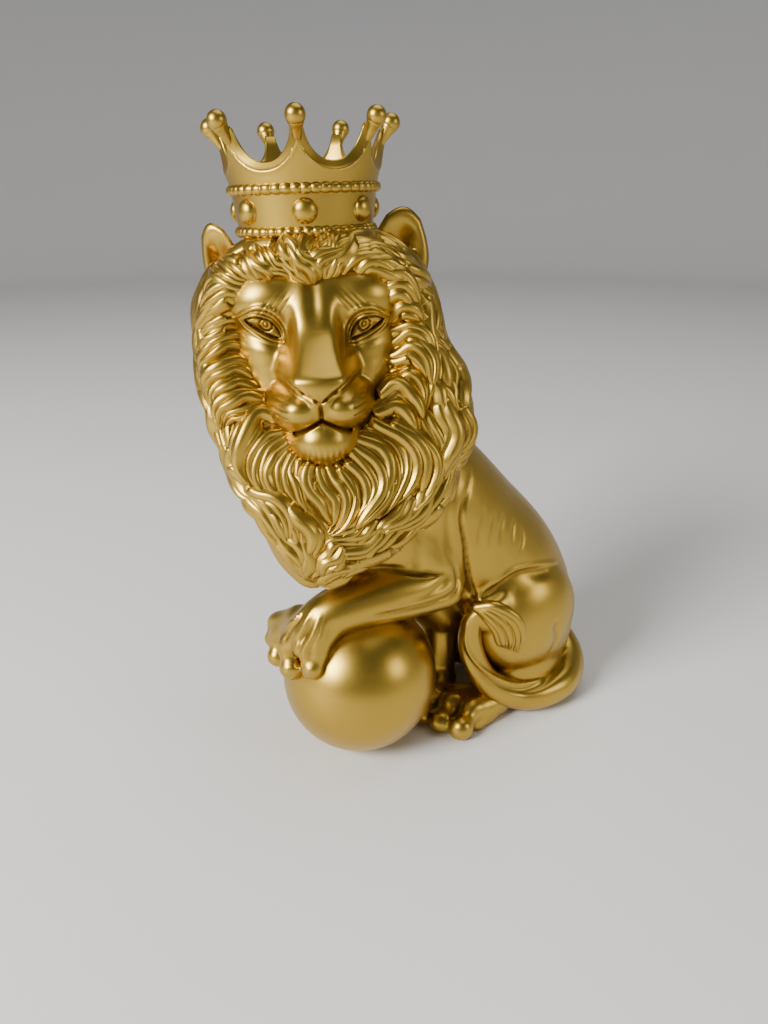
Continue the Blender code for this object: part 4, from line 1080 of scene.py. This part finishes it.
def crown_trim():
    """Two beaded rolls, a ball with a short neck on each point and a domed stud below it."""
    shapes = [bead_roll(BEAD_RADIUS), bead_roll(BAND_HEIGHT)]
    level = np.linspace(0, math.pi / 2 - 0.03, 12)
    for k in range(POINTS):
        angle = k * 2 * math.pi / POINTS
        ball_at = crown_point(angle, TIP_RADIUS, CROWN_HEIGHT - POINT_BALL_RADIUS)
        low = CROWN_HEIGHT - 3.2 * POINT_BALL_RADIUS
        below = crown_point(angle, crown_outside(low) - CROWN_WALL / 2, low)
        shapes.append(globe(ball_at, POINT_BALL_RADIUS, 22, 32))
        shapes.append(turned(ball_at, ball_at - below, NECK_PROFILE, 28))
        angle += STUD_TURN
        height = STUD_HEIGHT * BAND_HEIGHT
        stud, axis = crown_point(angle, crown_outside(height), height), crown_point(0.0, 0.0, height)
        collar = ((0.1, -1.4), (STUD_RADIUS + 0.4, -1.2), (STUD_RADIUS + 0.35, -0.2), (STUD_RADIUS + 0.1, 0.0))
        dome = np.stack([STUD_RADIUS * np.cos(level), 0.1 + STUD_RISE * np.sin(level)], -1)
        shapes.append(turned(stud, stud - axis, np.vstack([collar, dome])))
    return shapes


crown = make_mesh("crown", [crown_shell()], recalculate=True)
finish_piece(crown, 2)
trim = make_mesh("crown_trim", crown_trim(), recalculate=True)
finish_piece(trim, 1)


# Where it stands: a pale matt floor that bends up into a dimmer wall, a soft window from the upper left
# and dim fill around.

FOCAL_LENGTH = 27.42
CAMERA_PLACE, CAMERA_PITCH = (-0.015, -0.2967, 0.218), math.radians(67)
FLOOR_RADIUS, BEND, WALL_TOP = 1.7, 0.7, 1.6  # a round floor whose rim bends up into a wall
FLOOR_SIDES = 96
FLOOR_COLOUR, WALL_COLOUR = (0.80, 0.79, 0.77, 1), (0.56, 0.56, 0.57, 1)
ROOM_COLOUR, ROOM_STRENGTH = (0.78, 0.80, 0.84, 1), 0.09

bend = np.linspace(0, math.pi / 2, 25)
out = np.r_[0.7 * FLOOR_RADIUS, FLOOR_RADIUS + BEND * np.sin(bend), FLOOR_RADIUS + BEND][:, None]
rise = np.r_[0.0, BEND * (1 - np.cos(bend)), WALL_TOP][:, None]
turn = turns(FLOOR_SIDES)
bowl = np.stack(np.broadcast_arrays(out * np.cos(turn), out * np.sin(turn), rise), -1)
floor_faces = [list(range(FLOOR_SIDES))] + grid_quads(len(out), FLOOR_SIDES).tolist()
floor_mesh = bpy.data.meshes.new("floor")
floor_mesh.from_pydata(bowl.reshape(-1, 3), [], floor_faces)
floor_mesh.shade_smooth()
floor_mesh.polygons[0].use_smooth = False
wall = floor_mesh.attributes.new("wall", "FLOAT", "POINT")
wall.data.foreach_set("value", np.repeat(np.clip(rise[:, 0] / BEND, 0, 1), FLOOR_SIDES))
floor = add_object("floor", floor_mesh)
pale, pale_tree, pale_shader = new_material("pale_floor")
pale_colour = attribute(pale_tree, "wall").mixed(FLOOR_COLOUR, WALL_COLOUR)
pale_tree.links.new(pale_colour, pale_shader.inputs["Base Color"])
pale_shader.inputs["Roughness"].default_value = 0.6
floor_mesh.materials.append(pale)

world = bpy.data.worlds.new("room_light")
bpy.context.scene.world = world
world.use_nodes = True
background = world.node_tree.nodes["Background"]
background.inputs["Color"].default_value = ROOM_COLOUR
background.inputs["Strength"].default_value = ROOM_STRENGTH


def soft_light(name, place, target, size, power, colour):
    """A square of soft light that faces a target."""
    light = bpy.data.lights.new(name, "AREA")
    light.shape, light.size, light.energy, light.color = "SQUARE", size, power, colour
    obj = add_object(name, light)
    obj.location = place
    obj.rotation_euler = (Vector(target) - Vector(place)).to_track_quat("-Z", "Y").to_euler()


soft_light("window", (-0.9, -0.75, 0.75), (0, 0, 0.12), 0.5, 33, (1.0, 0.99, 0.97))
soft_light("ceiling", (0.2, 0.3, 1.6), (0, 0, 0), 1.3, 10, (1.0, 0.98, 0.95))
soft_light("far_window", (1.0, -0.5, 0.5), (0, 0, 0.1), 0.4, 2.5, (1.0, 0.95, 0.88))

camera = add_object("camera", bpy.data.cameras.new("camera"))
camera.data.lens, camera.data.sensor_width, camera.data.clip_start = FOCAL_LENGTH, 36, 0.01
camera.location, camera.rotation_euler = CAMERA_PLACE, (CAMERA_PITCH, 0, 0)
bpy.context.scene.camera = camera
